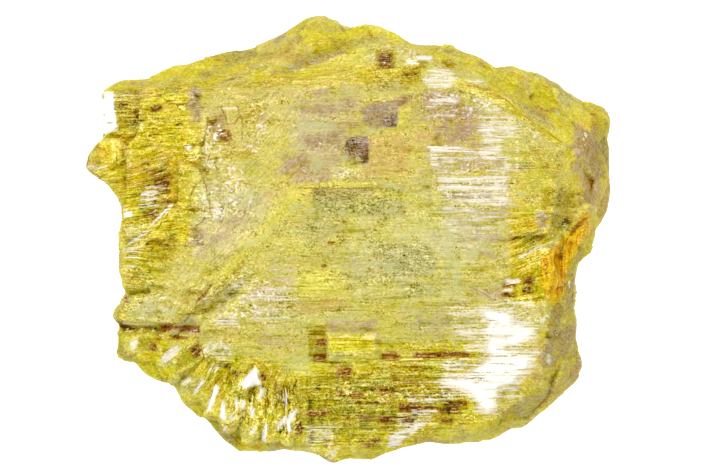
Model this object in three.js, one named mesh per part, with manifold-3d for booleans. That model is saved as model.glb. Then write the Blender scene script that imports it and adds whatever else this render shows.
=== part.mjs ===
// Orpiment specimen: a hand-sized chunk of foliated orpiment, lying on its back with its broad cleavage face up.
// Sizes are millimetres. +X runs along the striations of the cleavage face, +Y across them, and +Z out of the face.
// The origin is on the surface that the chunk rests on, under the middle of its box.
//
// The chunk is one solid. Its sheets lie parallel to the face, so it is made as a stack of slabs with one outline,
// which is then broken off by slanting planes, as the real one was, and gets its plates, blades, lumps and clefts.

import * as THREE from 'three';
import { ImprovedNoise } from 'three/addons/math/ImprovedNoise.js';
import { mergeVertices } from 'three/addons/utils/BufferGeometryUtils.js';
import Module from 'manifold-3d';

const wasm = await Module();
wasm.setup();

// Driving dimensions
const FACE_HEIGHT = 32.5; // the cleavage face above the surface that the chunk rests on
const RIM_SLAB_BOTTOM = 27; // the sheets from here up reach the full outline on the foliated sides
const LONGEST_EDGE = 5.6; // of a triangle, once the faces are divided
const BULK_WAVES = { size: 15, height: 1.7 }; // the unevenness of the lower half, which is massive
const ROUGH_LUMPS = { size: 7.5, height: 0.55 }; // the waviness of every broken surface
const ROUGH_GRIT = { size: 2.8, height: 0.2 };
const BULK_UP_TO = 22; // the height at which the massive lower half has passed into sheets
const CALM_FROM = 30.5; // above this height the surface is cleavage, and much smoother
const CUTTER = 220; // the side of a block that cuts away all that lies beyond a plane
const SUNK = 0.6; // how far an added plate or blade reaches into what carries it
const BOULDER_DETAIL = 1; // how often the faces of an icosahedron are divided to make a lump or a hollow

// The outline seen from above, clockwise from the upper left corner, in the stretches that differ in kind.
const UPPER_LEFT_CREST = [
  [-38, 21.2], [-37.2, 22.2], [-35.1, 23.1], [-32, 23.4], [-30.4, 23.9], [-27.6, 25.5], [-25.6, 25.5],
  [-23.7, 26.4], [-21, 27.3], [-18.3, 28.2], [-16, 28.5], [-13.8, 29.2], [-11.7, 30.2],
];
const TOP_LUMPS = [
  [-9.6, 31.4], [-7.6, 32.6], [-6, 33.4], [-4.8, 33.6], [-3.4, 33.2], [-1.8, 32], [-0.3, 31.5], [1.8, 31.8],
  [3.6, 31.5], [4.8, 30.8], [6.9, 29.6], [8.8, 28.7],
];
const UPPER_RIGHT_EDGE = [
  [11.4, 28.5], [14.1, 27.9], [16.2, 27], [18.3, 26.6], [20.2, 25.8], [21.9, 25.1], [23.7, 24.9], [25.2, 25.3],
  [26.7, 25.1], [28.8, 24], [30.9, 23.1], [33.2, 21.6], [34.5, 20.9], [36.6, 20.1],
];
const RIGHT_SHOULDER = [
  [38.4, 19.8], [38.9, 18.6], [39, 16.8], [39.6, 14.4], [39.9, 12.2], [39.8, 9.9], [39.5, 6.9], [38.9, 4.5],
  [37.2, 2.4], [36.3, 0], [34.8, -2.1], [33.2, -3.9],
];
const LOWER_RIGHT_FLANK = [
  [33.2, -5.4], [33.6, -7.8], [33.5, -9], [33, -10.4], [33.3, -12.6], [33.2, -14.8], [33.5, -16.5], [35.1, -18.6],
  [34.8, -20.4], [33.5, -22.3], [32, -23.6], [29.7, -24.6], [27.9, -25.8], [26.4, -27.6], [24.2, -28.8],
];
const BOTTOM_EDGE = [
  [21.9, -29.7], [20.1, -30.3], [18.6, -30], [16.2, -30.2], [14, -30.9], [10.6, -31], [7.6, -31], [5.7, -31.4],
  [3.6, -32.1], [1.8, -33], [-0.3, -32.8], [-2.1, -33.1], [-3.3, -33.6], [-4.5, -32.8], [-5.3, -32], [-7.4, -31.5],
  [-9.6, -31.5], [-12.5, -31.9], [-14.9, -31.7],
];
const LOWER_LEFT_FAN = [
  [-17.1, -31.4], [-18.8, -30.2], [-20.1, -29], [-21.6, -27.5], [-23.9, -26.3], [-25.5, -24.9], [-26.1, -23.4],
  [-26.4, -22.1], [-28.4, -21.3], [-30.3, -20.7], [-31.4, -19.7], [-31.7, -18.6],
];
const LEFT_BLADE_ENDS = [
  [-34.2, -18.3], [-35, -17.6], [-34.8, -15.6], [-35.7, -13.4], [-35.9, -11.7], [-35.1, -10.2], [-34.1, -9],
  [-34.1, -7.4], [-34.8, -5.1], [-34.5, -2.1], [-34.7, 0.9], [-34.5, 3.2], [-34.8, 5.1], [-36.6, 6.8], [-38, 7.5],
  [-38.1, 8.7], [-39.9, 10.4], [-39.5, 12.2], [-38.4, 14.1], [-38.3, 16.2], [-38.1, 18.6],
];
const MASSIVE = [...TOP_LUMPS, ...UPPER_RIGHT_EDGE, ...RIGHT_SHOULDER, ...LOWER_RIGHT_FLANK];
const FOLIATED = [...BOTTOM_EDGE, ...LOWER_LEFT_FAN, ...LEFT_BLADE_ENDS];
const OUTLINE = [...UPPER_LEFT_CREST, ...MASSIVE, ...FOLIATED];

// The stack: where each slab of sheets ends, and how far its ends are broken back on the foliated sides.
const SLABS = [
  { top: 16.4, back: 2.6 },
  { top: 19.2, back: 3.6 },
  { top: 21.1, back: 2 },
  { top: 23.7, back: 2.9 },
  { top: 25.2, back: 1.1 },
  { top: RIM_SLAB_BOTTOM, back: 1.9 },
];

// Broken planes of the upper side. Each holds the line from -> to at that height and falls away to the left of it.
const UPPER_BREAKS = {
  leftBend: { from: [-20.5, -8.5], to: [-13, 19], height: 32.4, dip: 13 },
  leftEnd: { from: [-35.2, 6], to: [-35, 23], height: 28.4, dip: 30 },
  upperLeftSlope: { from: [-30.5, 17.5], to: [4.5, 27.2], height: 31.2, dip: 52 },
  upperLeftCorner: { from: [-35, 18.5], to: [-25, 21], height: 28.4, dip: 44 },
  topShoulder: { from: [4.5, 28], to: [17.4, 21.6], height: 32.2, dip: 50 },
  upperRightSlope: { from: [17.4, 21.9], to: [31.2, 9.3], height: 32.2, dip: 49 },
  upperRightFacet: { from: [26, 24.2], to: [38, 14.5], height: 24.6, dip: 52 },
  rightSlope: { from: [31, 10.4], to: [31.6, -1], height: 32, dip: 62 },
  rightFacet: { from: [34.8, 17], to: [33.6, 2], height: 26, dip: 46 },
  lowerRightBend: { from: [17.5, 0], to: [13, -27], height: 32.4, dip: 8.5 },
  lowerRightSlope: { from: [31.2, -4], to: [29.8, -19.5], height: 30.4, dip: 64 },
  lowerRightCorner: { from: [30.2, -18.8], to: [20.5, -27.8], height: 30.6, dip: 54 },
  bottomRightEdge: { from: [22, -27.2], to: [7, -30.2], height: 31, dip: 44 },
  bottomBend: { from: [12, -25.2], to: [-9, -24.6], height: 32.3, dip: 10 },
  lowerLeftBend: { from: [-1, -29], to: [-18.5, -13], height: 32.2, dip: 17 },
};

// Broken planes of the underside. Each holds a line of the base and rises to the left of it.
const LOWER_BREAKS = [
  { from: [-19, 11], to: [6, 17.5], rise: 42 },
  { from: [2, 18.5], to: [19, 11.5], rise: 35 },
  { from: [15, 14], to: [22.5, 2], rise: 37 },
  { from: [22, 6], to: [20, -12], rise: 40 },
  { from: [22, -9], to: [8, -19], rise: 45 },
  { from: [12, -18.5], to: [-12, -16], rise: 51 },
  { from: [-7, -18], to: [-21, -5], rise: 43 },
  { from: [-21, -8], to: [-17.5, 14], rise: 38 },
];

// Lumps of massive, earthy orpiment: [x, y, z] of the middle, and the half sizes.
const LUMPS = [
  { at: [-5.4, 27.6, 20.5], half: [7.6, 5.6, 6.6] }, // the highest point of the upper edge
  { at: [2.6, 27.4, 20.5], half: [5.2, 4.2, 6] },
  { at: [-20, 22.8, 21], half: [7, 3.6, 5.4] },
  { at: [27, 20, 18.2], half: [6.2, 4.4, 6] },
  { at: [35.8, 17, 16.4], half: [3.2, 3.2, 5] }, // the corner of the right shoulder
  { at: [34.4, 9, 16.8], half: [4.6, 6.4, 7] },
  { at: [31.8, -19.2, 20.4], half: [3.4, 3.4, 5.4] }, // the tooth on the lower right
  { at: [29.8, -9, 22.5], half: [3.4, 5.4, 6] },
  { at: [-33.6, -11.8, 25.4], half: [2.4, 2.5, 2.6] }, // the knob at the left end of the cleft
  { at: [-3.3, -31.4, 22.8], half: [1.7, 2.1, 2.4] }, // the grain that hangs from the bottom edge
];

// Plates of cleavage on the face, with the straight ends that cleavage breaks to. Each leans a little, so that it
// stands proud of the face on its left and lower sides and dips under it on the others.
const PLATES = [
  { // the upper right of the face
    top: FACE_HEIGHT + 0.12, tilt: [0.3, 1.5],
    edge: [
      [8.2, 21.4], [7.4, 17.6], [8.4, 15.4], [2.8, 14.2], [2.2, 10.6], [-1.2, 9.4], [0.8, 8.3], [8.5, 6.9], [12.6, 6.6],
      [12.8, 3.2], [17.4, 2.6], [17.8, -0.6], [28.4, 0.4], [29.6, 7.6], [22.8, 16.2], [15.2, 20.6], [9.4, 24.4],
    ],
  },
  { // the bright striated block within it
    top: FACE_HEIGHT + 0.3, tilt: [-0.6, 2.6],
    edge: [[12.6, 20.2], [13, 12.6], [11.2, 12.4], [11.4, 4.4], [21.2, 3.8], [21.8, 12.8], [19.2, 16.8], [16.4, 19.4]],
  },
  { // the middle of the face, which steps down to the lower left like a stair
    top: FACE_HEIGHT + 0.08, tilt: [-0.8, 0.9],
    edge: [
      [-4.4, 6.8], [-8.9, 0.8], [-8.8, -6], [-8.2, -12.8], [-4.3, -13.3], [-3.9, -18.2], [-0.4, -18.4], [-0.2, -22.2],
      [7, -22.6], [7.4, -20], [14.6, -19.6], [16.8, -9], [17.2, -1], [12.4, 1.4], [12, 5.6], [4, 6.4],
    ],
  },
  { top: FACE_HEIGHT + 0.6, tilt: [-0.9, 0.8], edge: [[-4, -14.2], [-3.6, -17.4], [2.8, -17.2], [3.4, -14]] },
  { top: FACE_HEIGHT + 0.65, tilt: [0.7, 0.9], edge: [[-0.2, -19.4], [0, -22], [5.2, -21.8], [5.4, -19.2]] },
];

// Blades on the left, lying on the bend like slates, each with its own slope.
const LEFT_BLADES = [
  { // the beak
    top: 28.3, thick: 3, tilt: [5, -6],
    edge: [[-39.9, 10.4], [-39.4, 12.2], [-38.3, 14], [-36, 14.7], [-34.2, 13.8], [-33.7, 11.6], [-34.8, 9.2],
      [-36.8, 7.6], [-38, 8.4]],
  },
  { top: 29.4, thick: 3.2, tilt: [3, -3],
    edge: [[-34.2, 12.8], [-33, 14.4], [-25.4, 15.2], [-25, 0.6], [-30, -1.6], [-34.3, -0.6]] },
  { top: 30.3, thick: 3, tilt: [-4, -5],
    edge: [[-31.6, 20.4], [-24.2, 21.2], [-20.6, 16], [-24.8, 12.6], [-32.4, 13.6]] },
  { // the long smooth blade with a crack along its right side
    top: 31.4, thick: 3, tilt: [2.5, -7],
    edge: [[-25.6, 10.8], [-22.4, 9.8], [-20.6, 3], [-23.4, 0.4], [-26.4, 1.6]] },
  { top: 31.2, thick: 2.6, tilt: [-6, 4], edge: [[-22.6, 18.6], [-19.2, 19], [-18.4, 11.6], [-21.8, 10.4]] },
  { top: 29.6, thick: 3, tilt: [6, -4], edge: [[-34.1, -1.4], [-26, -1.6], [-26.6, -8.6], [-34, -8.2]] },
  { top: 29.6, thick: 2.4, tilt: [-5, -3], edge: [[-34.6, -14.4], [-24.6, -14.6], [-22.2, -19.4], [-33.8, -17.8]] },
];

// The fan of blades on the lower left: the tail and the tip of each, its width, how far it lies below the plane
// of the face, and the angle in degrees by which it is rolled about its length.
const FAN_BLADES = [
  { tail: [-21.5, -15.6], tip: [-28.6, -20.4], width: 3.8, drop: 2.7, roll: 15 },
  { tail: [-20, -17.8], tip: [-25.4, -24], width: 3.3, drop: 3.1, roll: -13 },
  { tail: [-18.2, -19.4], tip: [-22, -26.6], width: 3, drop: 3, roll: 17 },
  { tail: [-16, -19.2], tip: [-19, -29], width: 2.7, drop: 2.7, roll: -15 },
  { tail: [-13.8, -18.2], tip: [-17.4, -22.8], width: 2.9, drop: 1.6, roll: 19 },
  { tail: [-13.6, -21.8], tip: [-15.8, -30.6], width: 2.6, drop: 2.4, roll: 16 },
  { tail: [-11.2, -20.4], tip: [-12.8, -30.6], width: 2.5, drop: 1.9, roll: -15 },
  { tail: [-8.8, -21.6], tip: [-10.2, -30.8], width: 2.4, drop: 1.6, roll: 17 },
  { tail: [-6.4, -23], tip: [-8, -30.6], width: 2.2, drop: 1.3, roll: -17 },
];
const FAN_BLADE_THICKNESS = 1.5;

// The folds of the fibres that lie open in the scoop on the right, described like the fan's blades.
const SCOOP_FOLDS = [
  { tail: [34.9, 5], tip: [29.2, -2.6], width: 2.4, drop: 5, roll: 32 },
  { tail: [34.2, 1.6], tip: [28.9, -7.4], width: 2.2, drop: 5.4, roll: 28 },
  { tail: [34, -1.6], tip: [29.8, -10.2], width: 2.2, drop: 7.2, roll: 30 },
  { tail: [34, -5.2], tip: [31.4, -12], width: 1.8, drop: 9.6, roll: 34 },
];

// Clefts: a V cut along a line whose floor runs between two heights.
const CLEFTS = [
  { from: [-12.5, -4.2], to: [-27, -15], floor: [32.4, 29], opening: 3, depth: 1.5 },
  { from: [-22, -13.2], to: [-37.5, -13.6], floor: [30.6, 25.8], opening: 3.2, depth: 2.8 },
  { from: [-20.4, 12.5], to: [-19.6, 1.6], floor: [30.4, 30.8], opening: 1.6, depth: 2 },
  { from: [-27.5, -7.4], to: [-36, -9.2], floor: [29.8, 26.4], opening: 2.4, depth: 2.4 },
  { from: [-26.4, 4.9], to: [-34.5, -2], floor: [29.6, 28], opening: 1.3, depth: 1.6 },
];

// Hollows: [x, y, z] of the middle, and the half sizes.
const HOLLOWS = [
  { at: [35, -3.4, 29.6], half: [6.4, 5.4, 8] }, // the scoop on the right, where the orange fibres lie open
  { at: [-12, 26.8, 31.2], half: [14, 4, 4.4] }, // the valley behind the upper left slope
  { at: [36.6, -12.8, 27.4], half: [4, 4.6, 6] },
  { at: [0.2, 12.8, 34.4], half: [3, 2.2, 2.1] }, // the dark recess in the face
];

// Shapes

// A three.js geometry as a solid that can be joined and cut.
function solidOf(geometry) {
  const bare = geometry.clone();
  bare.deleteAttribute('normal');
  bare.deleteAttribute('uv');
  const merged = mergeVertices(bare, 1e-4);
  return new wasm.Manifold(new wasm.Mesh({
    numProp: 3,
    vertProperties: new Float32Array(merged.attributes.position.array),
    triVerts: new Uint32Array(merged.index.array),
  }));
}

// An upright prism with that outline.
function prism(edge, bottom, top) {
  const shape = new THREE.Shape(edge.map(([x, y]) => new THREE.Vector2(x, y)));
  return new THREE.ExtrudeGeometry(shape, { depth: top - bottom, bevelEnabled: false }).translate(0, 0, bottom);
}

// A plane that holds the line from -> to, as a point and the normal that faces away from the chunk.
// A positive angle falls away to the left of the line, from level; a negative one rises.
function planeOf({ from, to }, height, fall) {
  const outward = new THREE.Vector3(from[1] - to[1], to[0] - from[0], 0).normalize();
  const angle = THREE.MathUtils.degToRad(fall);
  const normal = outward.multiplyScalar(Math.sin(angle)).setZ(Math.cos(angle));
  return { point: new THREE.Vector3(...from, height), normal };
}

// A block that covers all that lies beyond a plane.
function beyond({ point, normal }) {
  const turn = new THREE.Quaternion().setFromUnitVectors(new THREE.Vector3(0, 0, 1), normal);
  return new THREE.BoxGeometry(CUTTER, CUTTER, CUTTER)
    .translate(0, 0, CUTTER / 2)
    .applyQuaternion(turn)
    .translate(...point.toArray());
}

// A plate with its own outline, tilted about its middle by [degrees about X, degrees about Y].
function plate({ edge, top, thick = 1.6, tilt }) {
  const middle = edge.reduce(([a, b], [x, y]) => [a + x / edge.length, b + y / edge.length], [0, 0]);
  const flat = prism(edge.map(([x, y]) => [x - middle[0], y - middle[1]]), -thick - SUNK, 0);
  return flat
    .rotateX(THREE.MathUtils.degToRad(tilt[0]))
    .rotateY(THREE.MathUtils.degToRad(tilt[1]))
    .translate(...middle, top);
}

// A narrow blade from tail to tip with a pointed end, rolled about its length.
function fanBlade({ tail, tip, width, drop, roll }) {
  const run = new THREE.Vector2(tip[0] - tail[0], tip[1] - tail[1]);
  const long = run.length();
  const half = width / 2;
  const edge = [[0, -half * 0.5], [long * 0.8, -half], [long, -half * 0.2], [long * 0.93, half], [0, half * 0.7]];
  return prism(edge, -FAN_BLADE_THICKNESS - SUNK, FAN_BLADE_THICKNESS / 2)
    .rotateX(THREE.MathUtils.degToRad(roll))
    .rotateZ(run.angle())
    .translate(...tail, FACE_HEIGHT - drop);
}

// A cleft's cutter: a V extruded along its line.
function cleft({ from, to, floor, opening, depth }) {
  const run = new THREE.Vector2(to[0] - from[0], to[1] - from[1]);
  const slope = Math.atan2(floor[1] - floor[0], run.length());
  const half = opening / 2;
  const section = new THREE.Shape([
    new THREE.Vector2(0, 0),
    new THREE.Vector2(half, depth),
    new THREE.Vector2(half, depth * 3),
    new THREE.Vector2(-half, depth * 3),
    new THREE.Vector2(-half, depth),
  ]);
  return new THREE.ExtrudeGeometry(section, { depth: run.length(), bevelEnabled: false })
    .rotateX(Math.PI / 2 - slope)
    .rotateZ(run.angle() + Math.PI / 2)
    .translate(...from, floor[0]);
}

// A rounded, faceted lump or hollow.
function boulder({ at, half }) {
  return new THREE.IcosahedronGeometry(1, BOULDER_DETAIL).scale(...half).translate(...at);
}

// The chunk

const noise = new ImprovedNoise();

// A slab of the stack. On the foliated sides its ends are broken back unevenly, with their corners
// at every third point of the outline only, so that they lie apart from those of the slabs next to it.
function slab(bottom, top, back, level) {
  const corners = OUTLINE.filter((p, i) => !FOLIATED.includes(p) || (i + level * 2) % 3 === 0);
  const edge = corners.map((p) => {
    const [x, y] = p;
    const uneven = 1 + 1.2 * noise.noise(x / 6, y / 6, level * 3.7);
    const inset = FOLIATED.includes(p) ? back * uneven : 0;
    const shrink = 1 - inset / Math.hypot(x, y);
    return [x * shrink, y * shrink];
  });
  return prism(edge, bottom, top + 0.01);
}

function stack() {
  let bottom = 0;
  let made = solidOf(prism(OUTLINE, RIM_SLAB_BOTTOM, FACE_HEIGHT));
  SLABS.forEach(({ top, back }, level) => {
    made = made.add(solidOf(slab(bottom, top, back, level)));
    bottom = top;
  });
  return made;
}

function chunk() {
  let made = stack();
  for (const plane of Object.values(UPPER_BREAKS)) {
    made = made.subtract(solidOf(beyond(planeOf(plane, plane.height, plane.dip))));
  }
  for (const add of LEFT_BLADES.map(plate)) made = made.add(solidOf(add));
  for (const cut of CLEFTS.map(cleft)) made = made.subtract(solidOf(cut));
  for (const add of [...PLATES.map(plate), ...FAN_BLADES.map(fanBlade)]) made = made.add(solidOf(add));
  for (const cut of HOLLOWS.map(boulder)) made = made.subtract(solidOf(cut));
  for (const add of SCOOP_FOLDS.map(fanBlade)) made = made.add(solidOf(add));
  for (const add of LUMPS.map(boulder)) made = made.add(solidOf(add));
  made = made.intersect(solidOf(prism(OUTLINE, -1, FACE_HEIGHT + 5)));
  for (const plane of LOWER_BREAKS) {
    const { point, normal } = planeOf(plane, 0, -plane.rise);
    made = made.subtract(solidOf(beyond({ point, normal: normal.negate() })));
  }
  return made;
}

// The broken surface

// Divides every triangle at the middles of its long edges, so that neighbours stay joined.
function divided(geometry, longest) {
  const points = [];
  const position = geometry.attributes.position;
  for (let i = 0; i < position.count; i++) points.push(new THREE.Vector3().fromBufferAttribute(position, i));
  let faces = [];
  for (let i = 0; i < geometry.index.count; i += 3) faces.push(Array.from(geometry.index.array.slice(i, i + 3)));
  for (let again = true; again;) {
    again = false;
    const middles = new Map();
    const middle = (a, b) => {
      const key = a < b ? `${a},${b}` : `${b},${a}`;
      if (!middles.has(key)) {
        const long = points[a].distanceTo(points[b]) > longest;
        middles.set(key, long ? points.push(points[a].clone().add(points[b]).multiplyScalar(0.5)) - 1 : -1);
      }
      return middles.get(key);
    };
    faces = faces.flatMap(([a, b, c]) => {
      const [ab, bc, ca] = [middle(a, b), middle(b, c), middle(c, a)];
      const cuts = (ab >= 0) + (bc >= 0) + (ca >= 0);
      again ||= cuts > 0;
      if (cuts === 3) return [[a, ab, ca], [ab, b, bc], [ca, bc, c], [ab, bc, ca]];
      if (cuts === 0) return [[a, b, c]];
      // Turned so that the first edge is cut and, of two cuts, the second edge is the other.
      if (cuts === 1) {
        const [p, q, r, m] = ab >= 0 ? [a, b, c, ab] : bc >= 0 ? [b, c, a, bc] : [c, a, b, ca];
        return [[p, m, r], [m, q, r]];
      }
      const [p, q, r, m, n] = ca < 0 ? [a, b, c, ab, bc] : ab < 0 ? [b, c, a, bc, ca] : [c, a, b, ca, ab];
      return [[m, q, n], [p, m, n], [p, n, r]];
    });
  }
  return { points, faces };
}

const smooth = (value, low, high) => THREE.MathUtils.smoothstep(value, low, high);

// Moves a point by a wavy field. The base stays flat, and the cleavage face stays calm.
function roughened(point) {
  const calm = 1 - 0.75 * smooth(point.z, CALM_FROM, CALM_FROM + 2);
  const massive = 1 - smooth(point.z, BULK_UP_TO - 12, BULK_UP_TO);
  const lift = smooth(point.z, 0, 3);
  const moved = point.clone();
  const add = ({ size, height }, share) => {
    const q = point.clone().divideScalar(size);
    const by = [0, 31, 62].map((far) => noise.noise(q.x + far, q.y + far, q.z + far) * height * share * 1.6);
    moved.add(new THREE.Vector3(by[0], by[1], by[2] * lift));
  };
  add(BULK_WAVES, massive);
  add(ROUGH_LUMPS, calm);
  add(ROUGH_GRIT, calm);
  return moved;
}

function specimenGeometry() {
  const mesh = chunk().getMesh();
  const rough = new THREE.BufferGeometry()
    .setAttribute('position', new THREE.BufferAttribute(Float32Array.from(mesh.vertProperties), 3))
    .setIndex(Array.from(mesh.triVerts));
  const { points, faces } = divided(rough, LONGEST_EDGE);
  const made = new THREE.BufferGeometry()
    .setFromPoints(points.map(roughened))
    .setIndex(faces.flat());
  made.computeBoundingBox();
  const { min, max } = made.boundingBox;
  made.translate(-(min.x + max.x) / 2, -(min.y + max.y) / 2, -min.z);
  made.computeVertexNormals();
  return made;
}

const orpiment = new THREE.Mesh(
  specimenGeometry(),
  new THREE.MeshStandardMaterial({ color: 0xd3bf3a, roughness: 0.5, metalness: 0 }),
);
orpiment.name = 'orpiment';

const specimen = new THREE.Group();
specimen.add(orpiment);

export default specimen;
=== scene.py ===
# %% [markdown]
# # An orpiment specimen
#
# Orpiment is a soft yellow mineral that grows in sheets, like a book. This specimen lies on its back, so
# that the broad face along which its sheets split looks up. That face is glossy and finely striped. The
# sides, where the sheets and the massive mineral broke, are matte and earthy.
#
# The packed solid already has the outline, the broken planes, the plates, blades, lumps and clefts. What
# is left to this lesson is the skin: worn edges, thin sheets, striations, powder, tarnish and the light
# that shows them.

import math

import bmesh
import bpy
import numpy as np
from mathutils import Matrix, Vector, noise


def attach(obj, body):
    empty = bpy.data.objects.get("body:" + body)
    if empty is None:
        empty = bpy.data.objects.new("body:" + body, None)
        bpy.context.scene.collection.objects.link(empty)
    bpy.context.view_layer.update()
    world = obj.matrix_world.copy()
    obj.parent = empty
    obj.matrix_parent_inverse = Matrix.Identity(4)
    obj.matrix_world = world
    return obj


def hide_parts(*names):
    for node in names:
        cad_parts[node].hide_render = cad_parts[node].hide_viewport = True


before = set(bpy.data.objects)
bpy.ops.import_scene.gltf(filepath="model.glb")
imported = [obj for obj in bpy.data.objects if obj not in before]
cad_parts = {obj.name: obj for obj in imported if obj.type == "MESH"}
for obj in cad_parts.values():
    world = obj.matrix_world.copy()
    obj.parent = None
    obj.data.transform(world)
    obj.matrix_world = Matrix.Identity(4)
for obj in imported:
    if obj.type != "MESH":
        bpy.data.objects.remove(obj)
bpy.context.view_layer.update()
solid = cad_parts["orpiment"]
print("solid:", len(solid.data.polygons), "triangles")

# %% [markdown]
# ## A skin with an even mesh
#
# The solid has large flat triangles, and long thin ones where its planes meet. Fine detail needs small
# faces of one size everywhere. Subdividing would keep the thin ones, so a copy is remeshed on a grid of
# small cubes instead. The remesher also rounds every edge by about one cube, which is how worn the edges
# of so soft a mineral are.

# %% The skin
CELL = 0.00037
SAME_PLACE = 1e-6


def baked(made, name):
    """Replace the object's mesh by what its modifiers make of it."""
    changed = made.evaluated_get(bpy.context.evaluated_depsgraph_get())
    mesh = bpy.data.meshes.new_from_object(changed)
    made.modifiers.clear()
    made.data = mesh
    mesh.name = name


def remeshed(source, name, cell):
    welded = bmesh.new()
    welded.from_mesh(source.data)
    bmesh.ops.remove_doubles(welded, verts=welded.verts, dist=SAME_PLACE)
    mesh = bpy.data.meshes.new(name)
    welded.to_mesh(mesh)
    welded.free()
    made = bpy.data.objects.new(name, mesh)
    bpy.context.scene.collection.objects.link(made)
    grid = made.modifiers.new("grid", "REMESH")
    grid.mode = "VOXEL"
    grid.voxel_size = cell
    baked(made, name)
    return made


skin = remeshed(solid, "orpiment_skin", CELL)
print("skin:", len(skin.data.vertices), "corners,", len(skin.data.polygons), "faces")

# %% [markdown]
# ## Fewer faces below
#
# The lower half is plain broken rock with none of the fine marks, so some of its faces are merged again.
# That keeps the whole skin light enough to be used in a larger scene.

# %% The plain lower half
PLAIN_BELOW = 0.014
KEEP = 0.72


def thinned(made, below, keep):
    low = [v.index for v in made.data.vertices if v.co.z < below]
    made.vertex_groups.new(name="low").add(low, 1.0, "REPLACE")
    merge = made.modifiers.new("merge", "DECIMATE")
    merge.ratio = keep
    merge.vertex_group = "low"
    baked(made, made.name)
    made.vertex_groups.clear()


thinned(skin, PLAIN_BELOW, KEEP)
skin.data.calc_loop_triangles()
print("thinned skin:", len(skin.data.vertices), "corners,", len(skin.data.loop_triangles), "triangles")

# %% [markdown]
# ## Reading and moving the mesh
#
# All shaping below works on arrays: one row for each corner of the mesh, in millimetres. The marks on the
# face are given on a plan of it, with u to the right and v down, in steps of 0.15 mm from the plan's
# upper left corner. A step is about one pixel of the picture that the camera takes at the end, so that
# each mark can be found again there.

# %% Arrays and the plan
PLAN_STEP = 0.15
PLAN_MIDDLE = (353.5, 236.0)


def rows(items, what):
    """One row of three numbers for each item of a mesh."""
    flat = np.empty(len(items) * 3, np.float32)
    items.foreach_get(what, flat)
    return flat.reshape(-1, 3).astype(float)


def corners(mesh):
    return rows(mesh.vertices, "co") * 1000


def directions(mesh):
    return rows(mesh.vertex_normals, "vector")


def move(mesh, where):
    mesh.vertices.foreach_set("co", (where / 1000).astype(np.float32).ravel())
    mesh.update()


def on_plan(where):
    u = where[:, 0] / PLAN_STEP + PLAN_MIDDLE[0]
    v = PLAN_MIDDLE[1] - where[:, 1] / PLAN_STEP
    return np.stack([u, v], axis=1)


def ease(value, low, high):
    """From 0 to 1 while the value goes from low to high, slow at both ends."""
    t = np.clip((value - low) / (high - low), 0, 1)
    return t * t * (3 - 2 * t)


where = corners(skin.data)
facing = directions(skin.data)
print("the skin reaches from", where.min(0).round(1), "to", where.max(0).round(1), "mm")

# %% [markdown]
# ## Shapes on the plan
#
# A patch is a closed outline. What matters at each corner of the mesh is how deep it lies inside: that
# number gives crisp steps, soft rims and ragged edges alike. Most patches are drawn point by point, and
# the simple ones are blocks and rings.

# %% Patches
def depth_inside(plan, edge):
    """How far each point lies inside a patch's edge, in plan steps; outside it is negative."""
    edge = np.array(edge, float)
    nearest = np.full(len(plan), 1e9)
    inside = np.zeros(len(plan), bool)
    for a, b in zip(edge, np.roll(edge, -1, axis=0)):
        run = b - a
        along = np.clip(((plan - a) @ run) / (run @ run), 0, 1)
        nearest = np.minimum(nearest, np.hypot(*(plan - a - along[:, None] * run).T))
        crosses = (a[1] > plan[:, 1]) != (b[1] > plan[:, 1])
        rise = run[1] if run[1] else 1e-9
        inside ^= crosses & (plan[:, 0] < a[0] + (plan[:, 1] - a[1]) * run[0] / rise)
    return np.where(inside, nearest, -nearest)


def share_inside(plan, edge, rim):
    """From 0 outside a patch to 1 inside it, over a rim of that width. Far points are skipped."""
    edge = np.array(edge, float)
    near = ((plan > edge.min(0) - rim) & (plan < edge.max(0) + rim)).all(axis=1)
    made = np.zeros(len(plan))
    made[near] = np.clip(0.5 + depth_inside(plan[near], edge) / rim, 0, 1)
    return made


def ring(u, v, ru, rv, turn=0):
    """Twelve points on an oval, which may be turned by some degrees."""
    angles = np.linspace(0, 2 * math.pi, 12, endpoint=False)
    c, s = math.cos(math.radians(turn)), math.sin(math.radians(turn))
    points = [(ru * math.cos(a), rv * math.sin(a)) for a in angles]
    return [(u + x * c - y * s, v + x * s + y * c) for x, y in points]


def block(u0, v0, u1, v1):
    return [(u0, v0), (u1, v0), (u1, v1), (u0, v1)]


deepest = depth_inside(np.array([[5.0, 5.0]]), block(0, 0, 10, 10))
print("the middle of a block of ten steps lies", deepest[0], "steps inside its edge")

# %% [markdown]
# ## Where the face ends
#
# The face broke along the sheets, and the sides across them, so the two need different relief and
# different finish. One outline on the plan tells them apart, with a soft rim, since nature gives no sharp
# border here. What looks down or lies low belongs to the sides as well.

# %% The outline of the face
FACE_EDGE = [
    (205, 88), (240, 80), (300, 70), (355, 50), (385, 40), (420, 62), (454, 72), (488, 93), (503, 106),
    (525, 121), (547, 134), (561, 146), (568, 177), (560, 205), (548, 232), (545, 262), (540, 300),
    (540, 325), (531, 349), (522, 380), (496, 414), (440, 428), (395, 440), (330, 446), (285, 438),
    (240, 420), (205, 380), (190, 340), (130, 330), (128, 240), (124, 200), (104, 180), (96, 120),
    (118, 90), (160, 80),
]
FACE_RIM = 18
FACE_HEIGHTS = (20, 23)


def looking_up(facing):
    return ease(facing[:, 2], -0.05, 0.15)


def cleavage_share(where, facing):
    upward = looking_up(facing) * ease(where[:, 2], *FACE_HEIGHTS)
    return share_inside(on_plan(where), FACE_EDGE, FACE_RIM) * upward


share = cleavage_share(where, facing)
print("the face takes", round(100 * share.mean()), "percent of the corners")
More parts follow.
